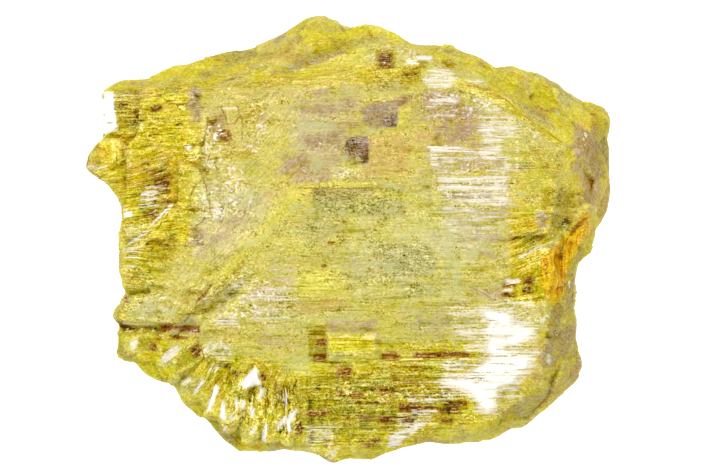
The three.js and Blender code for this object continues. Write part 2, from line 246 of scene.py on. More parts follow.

# %% [markdown]
# ## Sheets and ledges
#
# Where a sheet has broken off, the next one shows, and a low step runs along the break. The clearest of
# them are listed one by one. Each has an outline, a lift in millimetres, a lean along u and along v in
# millimetres for a hundred steps, and the width of its rim.

# %% Single sheets
SHEETS = [
    ([(410, 103), (396, 112), (393, 131), (372, 137), (371, 148), (366, 165), (345, 170), (318, 187),
      (376, 188), (402, 196), (428, 186), (426, 148), (452, 110)], 0.12, 0.2, 0.0, 3),
    (block(300, 158, 376, 188.5), 0.12, 0.0, 0.4, 3), (block(346, 138, 368, 166), -0.1, 0.0, 0.0, 3),
    ([(328, 331), (376, 331), (376, 353), (352, 357), (328, 357)], 0.12, 0.2, 0.0, 3),
    (block(352, 367, 387, 383), 0.12, 0.2, 0.0, 3),
    ([(297, 268), (342, 266), (352, 292), (345, 322), (300, 322)], 0.08, 0.2, 0.0, 3),
    ([(224, 111), (241, 111), (242, 120), (238, 127), (230, 128), (228, 117)], 0.3, -0.6, 0.0, 3),
    ([(242, 381), (258, 362), (260, 364), (264, 381), (248, 386)], 0.5, 2.5, 0.0, 3),
    (block(426, 149, 503, 205), 0.08, 0.1, 0.2, 4),
    ([(318, 182), (300, 215), (250, 262), (215, 310), (190, 330), (180, 322), (215, 280), (262, 225),
      (290, 190)], 0.12, 0.0, 0.0, 22),
    ([(498, 384), (511, 384), (523, 392), (512, 402), (505, 405), (497, 398)], -0.3, 0.0, 0.0, 4),
    ([(125, 151), (163, 152), (183, 155), (200, 170), (210, 190), (214, 212), (200, 226), (176, 205),
      (172, 172), (122, 168)], 0.1, 0.3, -0.3, 3),
    ([(176, 205), (169, 215), (153, 231), (131, 245), (132, 252), (158, 238), (176, 222),
      (182, 208)], 0.3, 0.0, 1.5, 3),
    ([(210, 122), (206, 148), (216, 150), (219, 122)], -0.4, 0.0, 0.0, 4),
    ([(98, 92), (118, 92), (121, 131), (98, 145)], 0.15, -1.5, 0.0, 4),
    ([(500, 276), (516, 276), (531, 272), (531, 294), (516, 297), (500, 297)], -0.2, 0.8, 0.0, 3),
    ([(452, 306), (480, 300), (509, 306), (533, 327), (532, 366), (512, 384), (494, 410), (470, 400),
      (440, 384)], 0.1, -0.4, -0.2, 6),
    ([(300, 375), (352, 375), (352, 398), (300, 400)], -0.15, 0.0, 0.0, 4),
    ([(378, 349), (470, 347), (470, 356), (378, 357)], -0.12, 0.0, 0.0, 3),
    ([(397, 397), (468, 395), (470, 408), (397, 409)], -0.15, 0.0, 0.0, 3),
    ([(201, 339), (208, 356), (190, 362), (179, 366), (185, 348)], -0.5, 2.0, -1.5, 4),
    ([(142, 336), (164, 336), (160, 348), (143, 347)], -0.4, 0.0, 0.0, 5),
    (ring(137, 342, 6, 8, 30), 0.4, 0.0, 0.0, 6),
    ([(206, 337), (240, 335), (236, 362), (210, 358)], 0.25, 1.0, 0.0, 4),
    ([(196, 228), (212, 230), (208, 246), (190, 246)], -0.2, 0.0, 0.0, 4),
]


def sheets_lift(plan):
    lift = np.zeros(len(plan))
    for edge, rise, lean_u, lean_v, rim in SHEETS:
        middle = np.mean(edge, axis=0)
        slope = ((plan - middle) @ np.array([lean_u, lean_v])) / 100
        lift += share_inside(plan, edge, rim) * (rise + slope)
    return lift


lifts = sheets_lift(on_plan(where))
print(len(SHEETS), "sheets, from", round(lifts.min(), 2), "to", round(lifts.max(), 2), "mm")

# %% [markdown]
# ## Broken rock
#
# Massive mineral breaks into small flat chips. A Voronoi diagram gives them: each cell becomes a plane
# with a tilt of its own. Fractal noise gives the soft swellings between them, which no chip has. Both are
# measured in millimetres along x, y and z, so they can be drawn out in any direction.

# %% Noise and chips
def rough(where, size, octaves=3, seed=0.0):
    """Fractal noise from about -1 to 1, with features of that size in millimetres along x, y and z."""
    spread = where / np.array(size) + seed
    return np.array([noise.fractal(Vector(p), 1.0, 2.1, octaves) for p in spread])


def cells(where, size, seed):
    """Where each point lies in its cell, and three random numbers of that cell from -0.5 to 0.5."""
    away = np.empty((len(where), 3))
    numbers = np.empty((len(where), 3))
    for i, point in enumerate(where / np.array(size) + seed):
        point = Vector(point)
        centre = noise.voronoi(point)[1][0]
        away[i] = point - centre
        numbers[i] = noise.cell_vector(centre * 7.31)
    return away, numbers - 0.5


def facets(where, size, seed):
    """Planes with a random tilt, one for each cell. The value is about -0.5 to 0.5."""
    away, tilt = cells(where, size, seed)
    return (away * tilt).sum(axis=1)


tried = facets(where[:500], (2.0, 1.8, 1.5), 8.8)
print("five hundred corners on chips lie from", tried.min().round(2), "to", tried.max().round(2))

# %% [markdown]
# ## The matte sides
#
# Broken sides have lumps a few millimetres wide, chips of two sizes, and low ribs where the sheets end.
# Each is made on its own and they are added. The largest chips are kept for the finish too, because every
# break has a slightly different colour.

# %% Relief of the sides
LUMPS = (5.0, 5.0, 4.2)
LARGE_CHIPS = (6.5, 5.2, 4.4)
SMALL_CHIPS = (2.0, 1.8, 1.5)
RIBS = (5.5, 5.5, 0.7)
DEEPEST_CHIP = 0.22


def side_relief(where, chip, tilt):
    lumps = 0.16 * rough(where, LUMPS, 3, 3.1)
    large = np.clip(1.3 * (chip * tilt).sum(axis=1), -DEEPEST_CHIP, DEEPEST_CHIP)
    chips = large + 0.25 * facets(where, SMALL_CHIPS, 8.8)
    ribs = 0.06 * rough(where, RIBS, 2, 5.3)
    return lumps + chips + ribs


print("the sides have chips of", LARGE_CHIPS, "and", SMALL_CHIPS, "mm")

# %% [markdown]
# ## The striped face
#
# On the face the same cells are long and low. That makes thin sheets that each lean a little and so catch
# the light one by one. Noise cut into steps gives the terraces between them, and very narrow noise the
# grooves. Blades stand on the left, and splinters like a fan on the lower left. All of it follows the
# striations, which bend down on the left and beside the vein on the right.

# %% Relief of the face
TERRACES = (11.0, 2.8, 40.0)
GROOVES = (16.0, 0.75, 40.0)
LEANING_SHEETS = (9.0, 2.6, 9.0)
BLADES = (4.4, 1.4, 3.0)
BLADE_AREA = block(60, 60, 214, 340)
SPLINTERS = (1.3, 3.2, 3.0)
SPLINTER_AREA = [(140, 340), (220, 350), (300, 375), (480, 395), (480, 450), (220, 460), (130, 380)]


def bend(plan):
    """How far the striations are shifted across, in millimetres."""
    v = plan[:, 1]
    turn = 0.28 * ease(v, 140, 160) - 0.16 * ease(v, 178, 196) - 0.22 * ease(v, 225, 260)
    slope = turn + 0.1 * ease(v, 290, 330)
    lean = 0.4 * ease(v, 212, 236) - 0.4 * ease(v, 258, 308)
    return -(slope * np.minimum(plan[:, 0] - 178, 0) + lean * np.maximum(plan[:, 0] - 500, 0)) * PLAN_STEP


def face_relief(where):
    plan = on_plan(where)
    where = where + np.array([[0.0, 1.0, 0.0]]) * bend(plan)[:, None]
    level = rough(where, TERRACES, 3, 1.3) * 2.2
    terrace = np.floor(level) + ease(level - np.floor(level), 0.44, 0.56)
    grooves = rough(where, GROOVES, 2, 7.9)
    leaning = 0.34 * facets(where, LEANING_SHEETS, 2.7)
    blades = 0.7 * facets(where, BLADES, 6.1) * share_inside(plan, BLADE_AREA, 30)
    splinters = 0.8 * facets(where, SPLINTERS, 9.4) * share_inside(plan, SPLINTER_AREA, 16)
    return 0.10 * terrace + 0.045 * grooves + leaning + (blades + splinters) + sheets_lift(plan)


shift = bend(on_plan(where))
print("the striations are shifted by", shift.min().round(1), "to", shift.max().round(1), "mm")

# %% [markdown]
# ## Putting the relief on
#
# The sides are moved along their own direction, and the face straight up, so that the edges of its sheets
# stay crisp. Before that, the sides are smoothed a little, because real breaks are blunt, and four worn
# places much more. The foot stays as it is, so that the specimen still lies flat.

# %% Shape the skin
DULL = [
    [(520, 132), (536, 130), (562, 172), (560, 190), (540, 176)], ring(590, 183, 12, 20),
    [(566, 344), (584, 350), (560, 404), (536, 412), (534, 396)], ring(556, 337, 8, 7),
]
WORN_RIM = 12
WORN_ROUNDS = 30
BLUNT_ROUNDS = 5
FOOT = (0.2, 2.5)


def averaged(mesh, where, rounds):
    """Every corner moved to the average of its neighbours, that many times over."""
    ends = np.empty(len(mesh.edges) * 2, np.int32)
    mesh.edges.foreach_get("vertices", ends)
    first, second = ends.reshape(-1, 2).T
    count = np.bincount(first, minlength=len(where)) + np.bincount(second, minlength=len(where))
    for _ in range(rounds):
        total = np.zeros_like(where)
        np.add.at(total, first, where[second])
        np.add.at(total, second, where[first])
        where = total / count[:, None]
    return where


base = ease(where[:, 2], *FOOT)
where = where + (averaged(skin.data, where, BLUNT_ROUNDS) - where) * ((1 - share) * base)[:, None]
dull = np.max([share_inside(on_plan(where), edge, WORN_RIM) for edge in DULL], axis=0) * base
where = where + (averaged(skin.data, where, WORN_ROUNDS) - where) * dull[:, None]
chip, chip_numbers = cells(where, LARGE_CHIPS, 4.4)
up = np.array([[0.0, 0.0, 1.0]])
chipped = side_relief(where, chip, chip_numbers)
moved = facing * (chipped * (1 - share))[:, None] + up * (face_relief(where) * share)[:, None]
move(skin.data, where + moved * base[:, None])
where = corners(skin.data)
facing = directions(skin.data)
print("after the relief it reaches from", where.min(0).round(1), "to", where.max(0).round(1), "mm")

# %% [markdown]
# ## Marks on the face
#
# Tarnish, powder, clear windows and painted pearly highlights lie where they happen to lie, so no
# noise finds them.
# Each kind of mark is a list of patches, drawn on the plan, and becomes one number at each corner
# of the mesh. That number says how much of the mineral there is covered, so a patch of one half is half
# eaten away. The finish picks which half, and with that roughens every edge.
#
# A patch is its edge, the width of its rim, and its strength. A patch with a negative strength takes away
# from the ones before it. The patches of a kind are sorted by the part of the face on which they lie.

# %% From patches to numbers on the mesh
SOFTEN = 1.5
plan = on_plan(where)
upward = looking_up(facing)


def store(name, values):
    layer = skin.data.attributes.new(name, "FLOAT", "POINT")
    layer.data.foreach_set("value", values.astype(np.float32))


def lay_mark(name, patches):
    value = np.zeros(len(plan))
    for edge, rim, strength in patches:
        inside = share_inside(plan, edge, rim * SOFTEN)
        value = np.maximum(value, strength * inside) if strength > 0 else value * (1 + strength * inside)
    store(name, value * upward)
    covered = round(100 * (value > 0.5).mean(), 1)
    print(name + ":", len(patches), "patches on", covered, "percent of the skin")


print(round(100 * (upward > 0.5).mean()), "percent of the skin looks up and can bear marks")

# %% [markdown]
# ## Clear windows
#
# Where a sheet is clear and thick, light goes in and comes back deep gold, and brown where it goes
# deepest. A material that lets light through would need the sheets inside the solid too, so the depth is
# painted: amber patches first, and smaller brown ones in them. Two amber patches along the lower edge of
# the fold paint its shade instead, as painted shade.

# %% Amber
AMBER = [
    # upper left
    ([(112, 88), (144, 84), (150, 130), (122, 132), (116, 112)], 10, 0.8),
    (ring(226, 138, 9, 6), 4, 0.9), (ring(249, 156, 12, 7), 8, 0.6),
    # left, halfway down
    ([(148, 165), (176, 160), (178, 205), (160, 220), (143, 216), (140, 190)], 10, 0.8),
    ([(149, 243), (178, 232), (184, 250), (172, 270), (150, 262)], 10, 0.75),
    (ring(147, 278, 8, 8), 6, 0.7), (ring(131, 298, 4, 5), 4, 0.8), (ring(168, 260, 9, 5, -20), 6, 0.6),
    # the next two patches are painted shade along the lower edge of the fold
    ([(165, 326), (184, 312), (204, 300), (214, 283), (220, 284), (204, 308), (186, 324),
      (172, 332)], 6, 0.7),
    ([(208, 296), (236, 264), (250, 250), (256, 256), (240, 274), (216, 302)], 6, 0.6),
    # lower left
    ([(201, 339), (208, 356), (190, 362), (179, 366), (185, 348)], 4, 0.95),
    ([(120, 320), (160, 324), (176, 320), (190, 333), (160, 335), (122, 331)], 7, 0.85),
    ([(142, 336), (164, 336), (160, 348), (143, 347)], 5, 1.1), (ring(242, 370, 8, 4, -20), 4, 0.7),
    (ring(226, 363, 8, 3), 3, 0.9), (ring(176, 374, 6, 5), 4, 0.7), (block(206, 327, 230, 331), 3, 0.7),
    # upper middle
    (block(375, 53, 394, 74), 4, 1.15), (block(400, 72, 419, 89), 6, 0.95),
    (block(415, 65, 426, 74), 4, 0.9), (ring(262, 110, 8, 12), 8, 0.55),
    ([(200, 60), (262, 46), (300, 34), (310, 40), (262, 62), (214, 78)], 10, 0.35),
    # middle
    (block(340, 244, 346, 248), 2, 0.6),
    # lower middle
    ([(300, 380), (330, 358), (352, 374), (390, 345), (475, 345), (480, 357), (440, 378), (474, 395),
      (458, 412), (436, 420), (380, 430), (318, 428), (298, 412)], 14, 0.62),
    ([(334, 384), (368, 384), (368, 412), (338, 416)], 6, 0.8), (block(352, 367, 387, 383), 3, 0.75),
    (block(309, 322, 328.5, 359), 3, 0.8), (block(329, 357, 352, 374), 3, 0.85),
    (block(303, 375, 352, 398), 6, 0.6), (block(387, 370, 438, 378), 5, 0.9),
    (block(403, 361, 438, 369), 4, 0.95), (block(359, 383, 400, 393), 4, 0.75),
    (block(274, 378, 303, 402), 6, 0.95), (block(358, 431, 382, 445), 5, 0.85),
    (block(334, 421, 354, 433), 5, 0.7), (block(353, 353, 420, 361), 5, 0.65),
    (ring(346, 391, 12, 7), 5, 0.7), (ring(266, 375, 5, 5), 4, 0.75),
    (block(258, 342, 292, 347), 4, 0.6), ([(215, 340), (300, 350), (300, 376), (230, 372)], 14, 0.35),
    ([(196, 345), (270, 350), (300, 400), (300, 440), (240, 440), (200, 400)], 20, 0.35),
    # upper right
    (ring(446, 68, 8, 5), 4, 0.8), (block(454, 87, 477, 92), 3, 0.7), (block(478, 91, 490, 95), 3, 0.8),
    (block(515, 163, 560, 176), 8, 0.55),
    # right, halfway down
    (block(518, 274, 531, 294), 4, 0.9), (block(498, 281, 513, 287), 2, 0.95),
    (block(498, 291, 513, 296), 2, 0.95),
    ([(514, 234), (540, 226), (544, 238), (530, 248), (514, 248)], 6, 0.7),
    ([(536, 190), (560, 188), (572, 192), (572, 208), (536, 210)], 6, 0.9),
    ([(544, 215), (572, 214), (571, 230), (548, 232)], 5, 0.8), (block(456, 265, 486, 273), 4, 0.6),
    (ring(455, 256, 3, 5), 3, 0.8),
    # lower right
    (block(406, 386, 462, 394), 4, 0.85), (block(436, 411, 450, 420), 4, 0.8),
    (block(448, 388, 462, 396), 3, 0.8),
]
lay_mark("amber", AMBER)

# %% [markdown]
# ## Brown bands
#
# The deepest parts of the windows are brown bands along the sheets. They are smaller patches inside the
# amber ones, most of them with a strength near one, so that they come out nearly whole. One brown patch
# in the crease of the fold is painted shade.

# %% Brown
BROWN = [
    # upper left
    (block(157, 180, 173, 194), 4, 0.7), (block(147, 171, 166, 179), 4, 0.4),
    ([(216, 134), (224, 129), (234, 133), (237, 141), (232, 148), (226, 145), (219, 146)], 5, 0.82),
    (ring(125, 107, 4, 4), 3, 0.8), (ring(160, 111, 7, 4, -20), 3, 1.1), (ring(162, 98, 3, 2), 2, 1.3),
    # left, halfway down
    (block(164, 198, 175, 206), 4, 0.65), (block(147, 212, 162, 219), 4, 0.7),
    (ring(131, 298, 3, 4), 2, 1.2),
    # the next patch is painted shade in the crease of the fold
    ([(201, 298), (215, 281), (218, 283), (206, 300), (199, 304)], 3, 0.85),
    # lower left
    (block(178, 324, 204, 330), 3, 1.1), (block(177, 334, 193, 337), 2, 1.1),
    (ring(157, 345, 3, 4), 2, 1.2), ([(120, 320), (136, 323), (138, 331), (122, 328)], 4, 0.8),
    ([(162, 322), (178, 320), (178, 331), (164, 331)], 4, 0.8),
    ([(202, 340), (207, 355), (196, 356), (192, 346)], 3, 1.0), (ring(242, 370, 5, 3, -30), 2, 0.8),
    # upper middle
    (block(378, 58, 391, 73), 4, 1.0),
    # middle
    (ring(335, 243, 3, 2), 2, 0.7), (ring(325, 265, 3, 2), 2, 1.2), (ring(331, 243, 2.5, 2), 2, 1.4),
    # lower middle
    (block(317, 336, 328, 343), 3, 0.9), (block(314, 350, 328, 359), 3, 0.95),
    (block(335, 362, 352, 373), 4, 0.7), (block(381, 350, 398, 356), 2, 1.0),
    (block(412, 349.5, 438, 354.5), 2, 1.4), (block(397, 399, 421, 408), 3, 1.0),
    (block(421, 401, 436, 405), 2, 0.9), (block(378, 411, 409, 418), 3, 1.0),
    (block(388, 418, 408, 421), 2, 0.3), (block(359, 409, 376, 417), 3, 0.55),
    (block(304, 405, 331, 411), 3, 0.9), (ring(300, 422, 4, 8), 3, 1.2), (ring(312, 421, 4, 4), 3, 0.2),
    (block(358, 397, 391, 400), 2, 0.7), (block(369, 383, 400, 387), 2, 0.7),
    (block(379, 388, 396, 393), 3, 0.85), (block(338, 387, 364, 393), 3, 0.7),
    (block(400, 375, 434, 380), 3, 0.6), (block(407, 389, 428, 394), 3, 0.7),
    ([(360, 441), (378, 431), (382, 434), (366, 444)], 3, 0.8), (block(275, 380, 284, 396), 4, 0.6),
    (ring(266, 375, 3, 4), 2, 0.7),
    # right, halfway down
    (block(519, 276, 530, 284), 3, 0.8), (block(519, 288, 530, 293), 3, 0.7),
    (block(498, 282, 512, 286.5), 2, 0.9), (block(498, 291.5, 511, 295), 2, 1.2),
    ([(585, 217), (573, 224), (566, 234), (568, 237), (577, 227)], 2, 0.85),
    ([(557, 246), (560, 246), (560, 260), (557, 259)], 2, 0.8),
    ([(526, 243), (538, 236), (540, 239), (529, 245)], 2, 0.8),
    # lower right
    (block(437, 348, 466, 353), 3, 0.95), (block(434, 401, 457, 409), 3, 0.85),
    (block(441, 396, 464, 401), 3, 1.2), (block(437, 412, 449, 419), 3, 0.7),
]
lay_mark("brown", BROWN)

# %% [markdown]
# ## The orange vein
#
# A vein of orange fibres crosses the sheets on the right, and a few stains of the same colour lie
# elsewhere. They are weaker, because only a breath of orange shows through there.

# %% Orange
ORANGE = [
    # upper left
    (ring(249, 156, 13, 6), 8, 0.45),
    ([(150, 166), (176, 162), (178, 200), (166, 206), (156, 190)], 6, 0.85),
    (ring(244, 185, 18, 7), 8, 0.35),
    # left, halfway down
    ([(150, 250), (176, 236), (180, 248), (158, 262)], 6, 0.4),
    # lower left
    ([(166, 326), (184, 312), (190, 316), (172, 330)], 4, 0.6), (ring(177, 374, 5, 4), 4, 0.5),
    ([(236, 432), (262, 444), (262, 448), (238, 442)], 4, 0.6),
    # upper middle
    (ring(324, 38, 10, 6, -10), 10, 0.35), ([(402, 76), (412, 73), (418, 80), (408, 88)], 6, 0.4),
    ([(383, 54), (390, 52), (396, 60), (388, 64)], 5, 0.5),
    # lower middle
    ([(374, 432), (382, 440), (374, 446), (368, 442)], 3, 0.6),
    # upper right
    ([(576, 118), (605, 116), (606, 128), (580, 130)], 8, 0.45),
    ([(438, 63), (446, 62), (454, 68), (450, 73), (442, 71)], 4, 0.75),
    ([(455, 89), (466, 86), (477, 88), (470, 92), (458, 92)], 3, 0.7),
    ([(478, 91), (488, 92), (500, 102), (498, 105), (484, 96)], 3, 0.65),
    # right, halfway down
    ([(580, 212), (589, 214), (589, 230), (580, 242), (572, 256), (564, 272), (561, 290), (552, 303),
      (543, 300), (537, 284), (536, 262), (546, 250), (560, 236), (572, 222)], 5, 1.0),
    (block(540, 262, 556, 300), 6, 0.6), (ring(455, 256, 3, 4), 2, 0.7),
    # lower right
    (ring(586, 336, 5, 9), 5, 0.4),
]
lay_mark("orange", ORANGE)

# %% [markdown]
# ## Tarnish
#
# Stained and tarnished places go from a pinkish tan over mauve to grey. One noise could not say where
# they lie, and each has its own strength, so three lists give the three stages.

# %% Tan
TAN = [
    # upper left
    ([(205, 95), (262, 92), (262, 150), (215, 150)], 16, 0.35), (block(120, 146, 186, 180), 10, 0.35),
    # upper middle
    ([(200, 76), (262, 56), (300, 46), (300, 58), (262, 70), (210, 84)], 8, 0.5),
    ([(368, 140), (402, 134), (410, 150), (404, 176), (352, 184), (367, 166)], 6, 0.75),
    (block(402, 126, 450, 150), 10, 0.55), (block(262, 86, 350, 106), 8, 0.35),
    # middle
    (block(300, 295, 350, 310), 6, 0.75), (block(268, 188, 318, 222), 12, 0.55),
    (block(296, 262, 342, 272), 6, 0.4),
    # lower middle
    (ring(300, 340, 40, 12), 12, 0.3),
    # upper right
    ([(505, 60), (470, 50), (440, 56), (480, 72)], 8, 0.35),
    ([(516, 80), (530, 76), (530, 106), (512, 96)], 5, 0.5),
    # right, halfway down
    (ring(568, 284, 10, 24), 8, 0.4),
    # lower right
    ([(527, 339), (540, 339), (540, 386), (524, 384)], 6, 0.6),
    ([(485, 430), (515, 408), (545, 384), (565, 366), (566, 392), (520, 430)], 10, 0.3),
    (ring(582, 346, 7, 14), 5, 0.6),
]
lay_mark("tan", TAN)

# %% Mauve
MAUVE = [
    # upper left
    ([(192, 86), (200, 84), (205, 98), (206, 122), (196, 124), (191, 108)], 6, 0.85),
    ([(118, 88), (122, 80), (146, 80), (144, 87)], 3, 0.6), (ring(221, 128, 9, 11), 6, 0.8),
    # left, halfway down
    ([(196, 228), (212, 230), (208, 246), (190, 246)], 5, 0.85),
    ([(214, 236), (240, 208), (262, 200), (256, 212), (226, 246), (206, 262), (200, 254)], 10, 0.62),
    # lower left
    (block(178, 322, 205, 331), 4, 0.95),
    # upper middle
    ([(296, 98), (356, 92), (364, 112), (348, 140), (344, 170), (300, 186), (284, 176),
      (296, 140)], 14, 0.5),
    ([(346, 140), (358, 137), (368, 138), (368, 166), (350, 165), (341, 156), (343, 146)], 6, 0.9),
    ([(357, 113), (368, 107), (392, 104.5), (403, 99), (413, 97), (409, 106), (398, 112), (396, 131),
      (374, 131.5), (360, 127), (364, 120)], 3, 0.9),
    ([(345, 126), (360, 122), (362, 131), (348, 133)], 3, 0.7), (block(300, 106, 356, 121), 6, 0.74),
    (block(304, 134, 344, 153), 7, 0.8), (ring(334, 160, 13, 8), 6, 0.5),
    ([(284, 160), (302, 156), (330, 166), (334, 176), (300, 184), (284, 178)], 6, 0.75),
    ([(292, 186), (300, 178), (335, 176), (330, 184)], 5, 0.75), (ring(320, 96, 15, 3), 4, 0.8),
    ([(272, 73), (300, 62), (345, 50), (350, 54), (305, 70), (274, 78)], 4, 0.8),
    ([(272, 38), (284, 32), (290, 38), (276, 43)], 3, 1.0),
    ([(330, 22), (346, 30), (340, 36), (328, 32)], 4, 0.4), (ring(265, 125, 5, 12), 4, 0.4),
    # middle
    ([(250, 270), (292, 262), (292, 300), (240, 330)], 16, 0.42),
    # lower middle
    (ring(329, 458, 8, 6), 4, 0.8), (block(258, 338, 274, 343), 3, 0.7),
    (block(359, 409, 376, 417), 3, 0.6), (block(325, 316, 378, 331), 6, 0.58),
    (block(262, 325, 312, 345), 10, 0.3),
    # upper right
    ([(418, 92), (452, 92), (462, 104), (478, 112), (474, 130), (476, 148), (440, 148), (434, 126),
      (420, 116)], 10, 0.8),
    (block(424, 118, 500, 180), 14, 0.55), (block(434, 184, 503, 187), 2, 0.8),
    (ring(495, 165, 6, 6), 4, 0.7), (ring(516, 168, 10, 4), 3, 0.6),
    ([(569, 140), (580, 126), (598, 130), (607, 150), (606, 176), (600, 204), (590, 212), (580, 200),
      (570, 172)], 8, 0.8),
    ([(467, 63), (488, 62), (488, 72), (468, 72)], 5, 0.6),
    # right, halfway down
    (block(438, 192, 488, 201), 4, 0.8), (block(440, 203, 503, 246), 12, 0.4),
    (block(475, 252, 496, 259), 4, 0.6), (block(462, 287, 499, 297), 4, 0.7),
    ([(588, 196), (600, 186), (598, 206), (590, 212)], 4, 0.3),
    ([(531, 212), (541, 213), (543, 229), (535, 231), (531, 223)], 3, 0.75),
    ([(562, 268), (578, 272), (580, 306), (568, 312), (560, 300)], 6, 0.7),
    ([(548, 312), (555, 300), (562, 308), (557, 321), (550, 330)], 2, 0.9),
    # lower right
    ([(548, 322), (556, 326), (572, 322), (576, 340), (566, 352), (550, 366), (540, 362),
      (538, 346)], 5, 0.85),
    (ring(543, 353, 7, 12), 4, 1.0),
    ([(574, 366), (584, 352), (587, 360), (578, 378), (568, 388)], 3, 0.8),
    (block(549, 328, 570, 335), 4, 0.8), (block(405, 394, 456, 400), 2, 0.5),
    ([(400, 306), (470, 300), (470, 345), (420, 340)], 14, 0.35),
    ([(500, 405), (545, 385), (560, 372), (566, 380), (540, 404), (510, 424)], 6, 0.4),
    (ring(580, 362, 7, 8), 6, 0.6),
]
lay_mark("mauve", MAUVE)

# %% [markdown]
# ## Grey cores
#
# In the middle of the larger mauve places the tarnish is thickest and nearly grey. Its own list keeps the
# border between the two crisp, where a stronger mauve patch would only spread further.

# %% The grey cores of the mauve
CORE = [
    ([(345, 144), (350, 139), (368, 139), (368, 166), (362, 166), (358, 157), (350, 158),
      (345, 153)], 4, 1.0),
    ([(380, 124), (388, 118), (396, 114), (396, 131), (384, 131)], 3, 0.95),
    (block(178, 323, 204, 331), 4, 0.8), (ring(223, 137, 7, 6), 5, 0.6),
    ([(574, 150), (588, 140), (602, 160), (590, 176), (578, 174)], 8, 0.5),
    (block(549, 329, 570, 334), 4, 0.6),
    ([(549, 302), (555, 297), (561, 309), (556, 321), (550, 328)], 3, 0.85),
    ([(570, 328), (577, 322), (578, 340), (573, 346), (567, 338)], 3, 0.7),
]
lay_mark("core", CORE)

# %% [markdown]
# ## Pearly places
#
# A cleavage face of orpiment shines like a pearl where the sheets lift a little. Those flashes are
# painted highlights: white in the colour as well as glossy, because soft light from all sides doesn't
# bring them out. The largest lies on the lower right, a lined field on the upper right, and thin slivers
# follow the blades on the left and in the fan.

# %% Pearly slivers on the left, painted as highlights
PEARL_HIGHLIGHTS_LEFT = [
    # upper left
    ([(104, 90.5), (114, 92), (116.5, 106), (119, 119), (120, 126), (122, 130), (111, 134), (103, 139),
      (98.5, 144), (99, 124), (101, 106)], 2, 1.4),
    ([(148, 187), (160, 186), (172, 188), (160, 188.5), (148, 189)], 1, 0.9),
    (block(91, 166.5, 110, 171), 2, 0.7), ([(190, 146), (195, 147), (194, 153), (189, 151)], 1.5, 1.1),
    # left, halfway down
    ([(143, 193.5), (158, 192), (175, 194.5), (160, 195), (144, 196.5)], 1, 1.1),
    ([(143, 199), (156, 197.5), (170, 199.5), (156, 200.5), (143, 201.5)], 1, 0.9),
    ([(142, 204.5), (156, 204), (166, 206), (156, 207), (143, 207.5)], 1, 1.0),
    ([(148, 211), (158, 210), (165, 212), (156, 213)], 1, 0.7),
    ([(128, 210), (136, 212), (135, 218), (128, 218)], 2, 1.1), (block(127, 249, 146, 252), 2, 0.7),
    (block(128, 255, 144, 258), 2, 0.7), (block(130, 264, 141, 268), 2, 0.6),
    ([(200, 300), (240, 268), (300, 262), (300, 320), (240, 335), (215, 330)], 20, 0.2),
    ([(217, 325), (221, 312), (240, 311), (243, 324)], 3, 0.6),
    ([(176, 203.5), (177.5, 206), (166, 216), (156, 226), (154.5, 224), (165, 213)], 1.2, 1.15),
    ([(152, 227.5), (154, 229.5), (143, 238.5), (133, 245), (132.5, 242.5), (143, 235.5)], 1.2, 1.05),
    # lower left
    ([(134, 348), (134, 340), (140, 336), (142, 340), (138, 349)], 2, 1.0),
    ([(164, 359), (168, 348), (180, 343), (184, 346), (176, 356), (168, 361)], 3, 0.8),
    ([(206, 338), (226, 336), (238, 346), (230, 362), (212, 358)], 8, 0.4),
    (block(125, 320.5, 161, 324), 3, 0.35),
    ([(218, 379), (222, 385), (214.5, 407), (209, 409), (212, 398)], 1.5, 1.2),
    ([(207.6, 374.6), (209, 376), (201, 388), (197, 391), (200.7, 381.5)], 1.5, 1.1),
    ([(224, 397), (228, 400), (230, 415), (226, 418), (222, 412)], 2, 1.15),
    ([(238, 394), (241, 398), (240, 409), (237, 404)], 1.5, 1.15),
    ([(232, 412), (236, 409), (238, 416), (233, 420)], 2, 0.9),
    ([(243, 398), (247, 396), (248, 404), (244, 408)], 2, 0.9),
    ([(228, 421), (233, 424), (230, 430), (226, 427)], 2, 0.8), (ring(216, 366, 8, 3, -30), 3, 0.6),
    (ring(190, 378, 5, 3, -50), 3, 0.7),
]
print(len(PEARL_HIGHLIGHTS_LEFT), "pearly patches on the left")
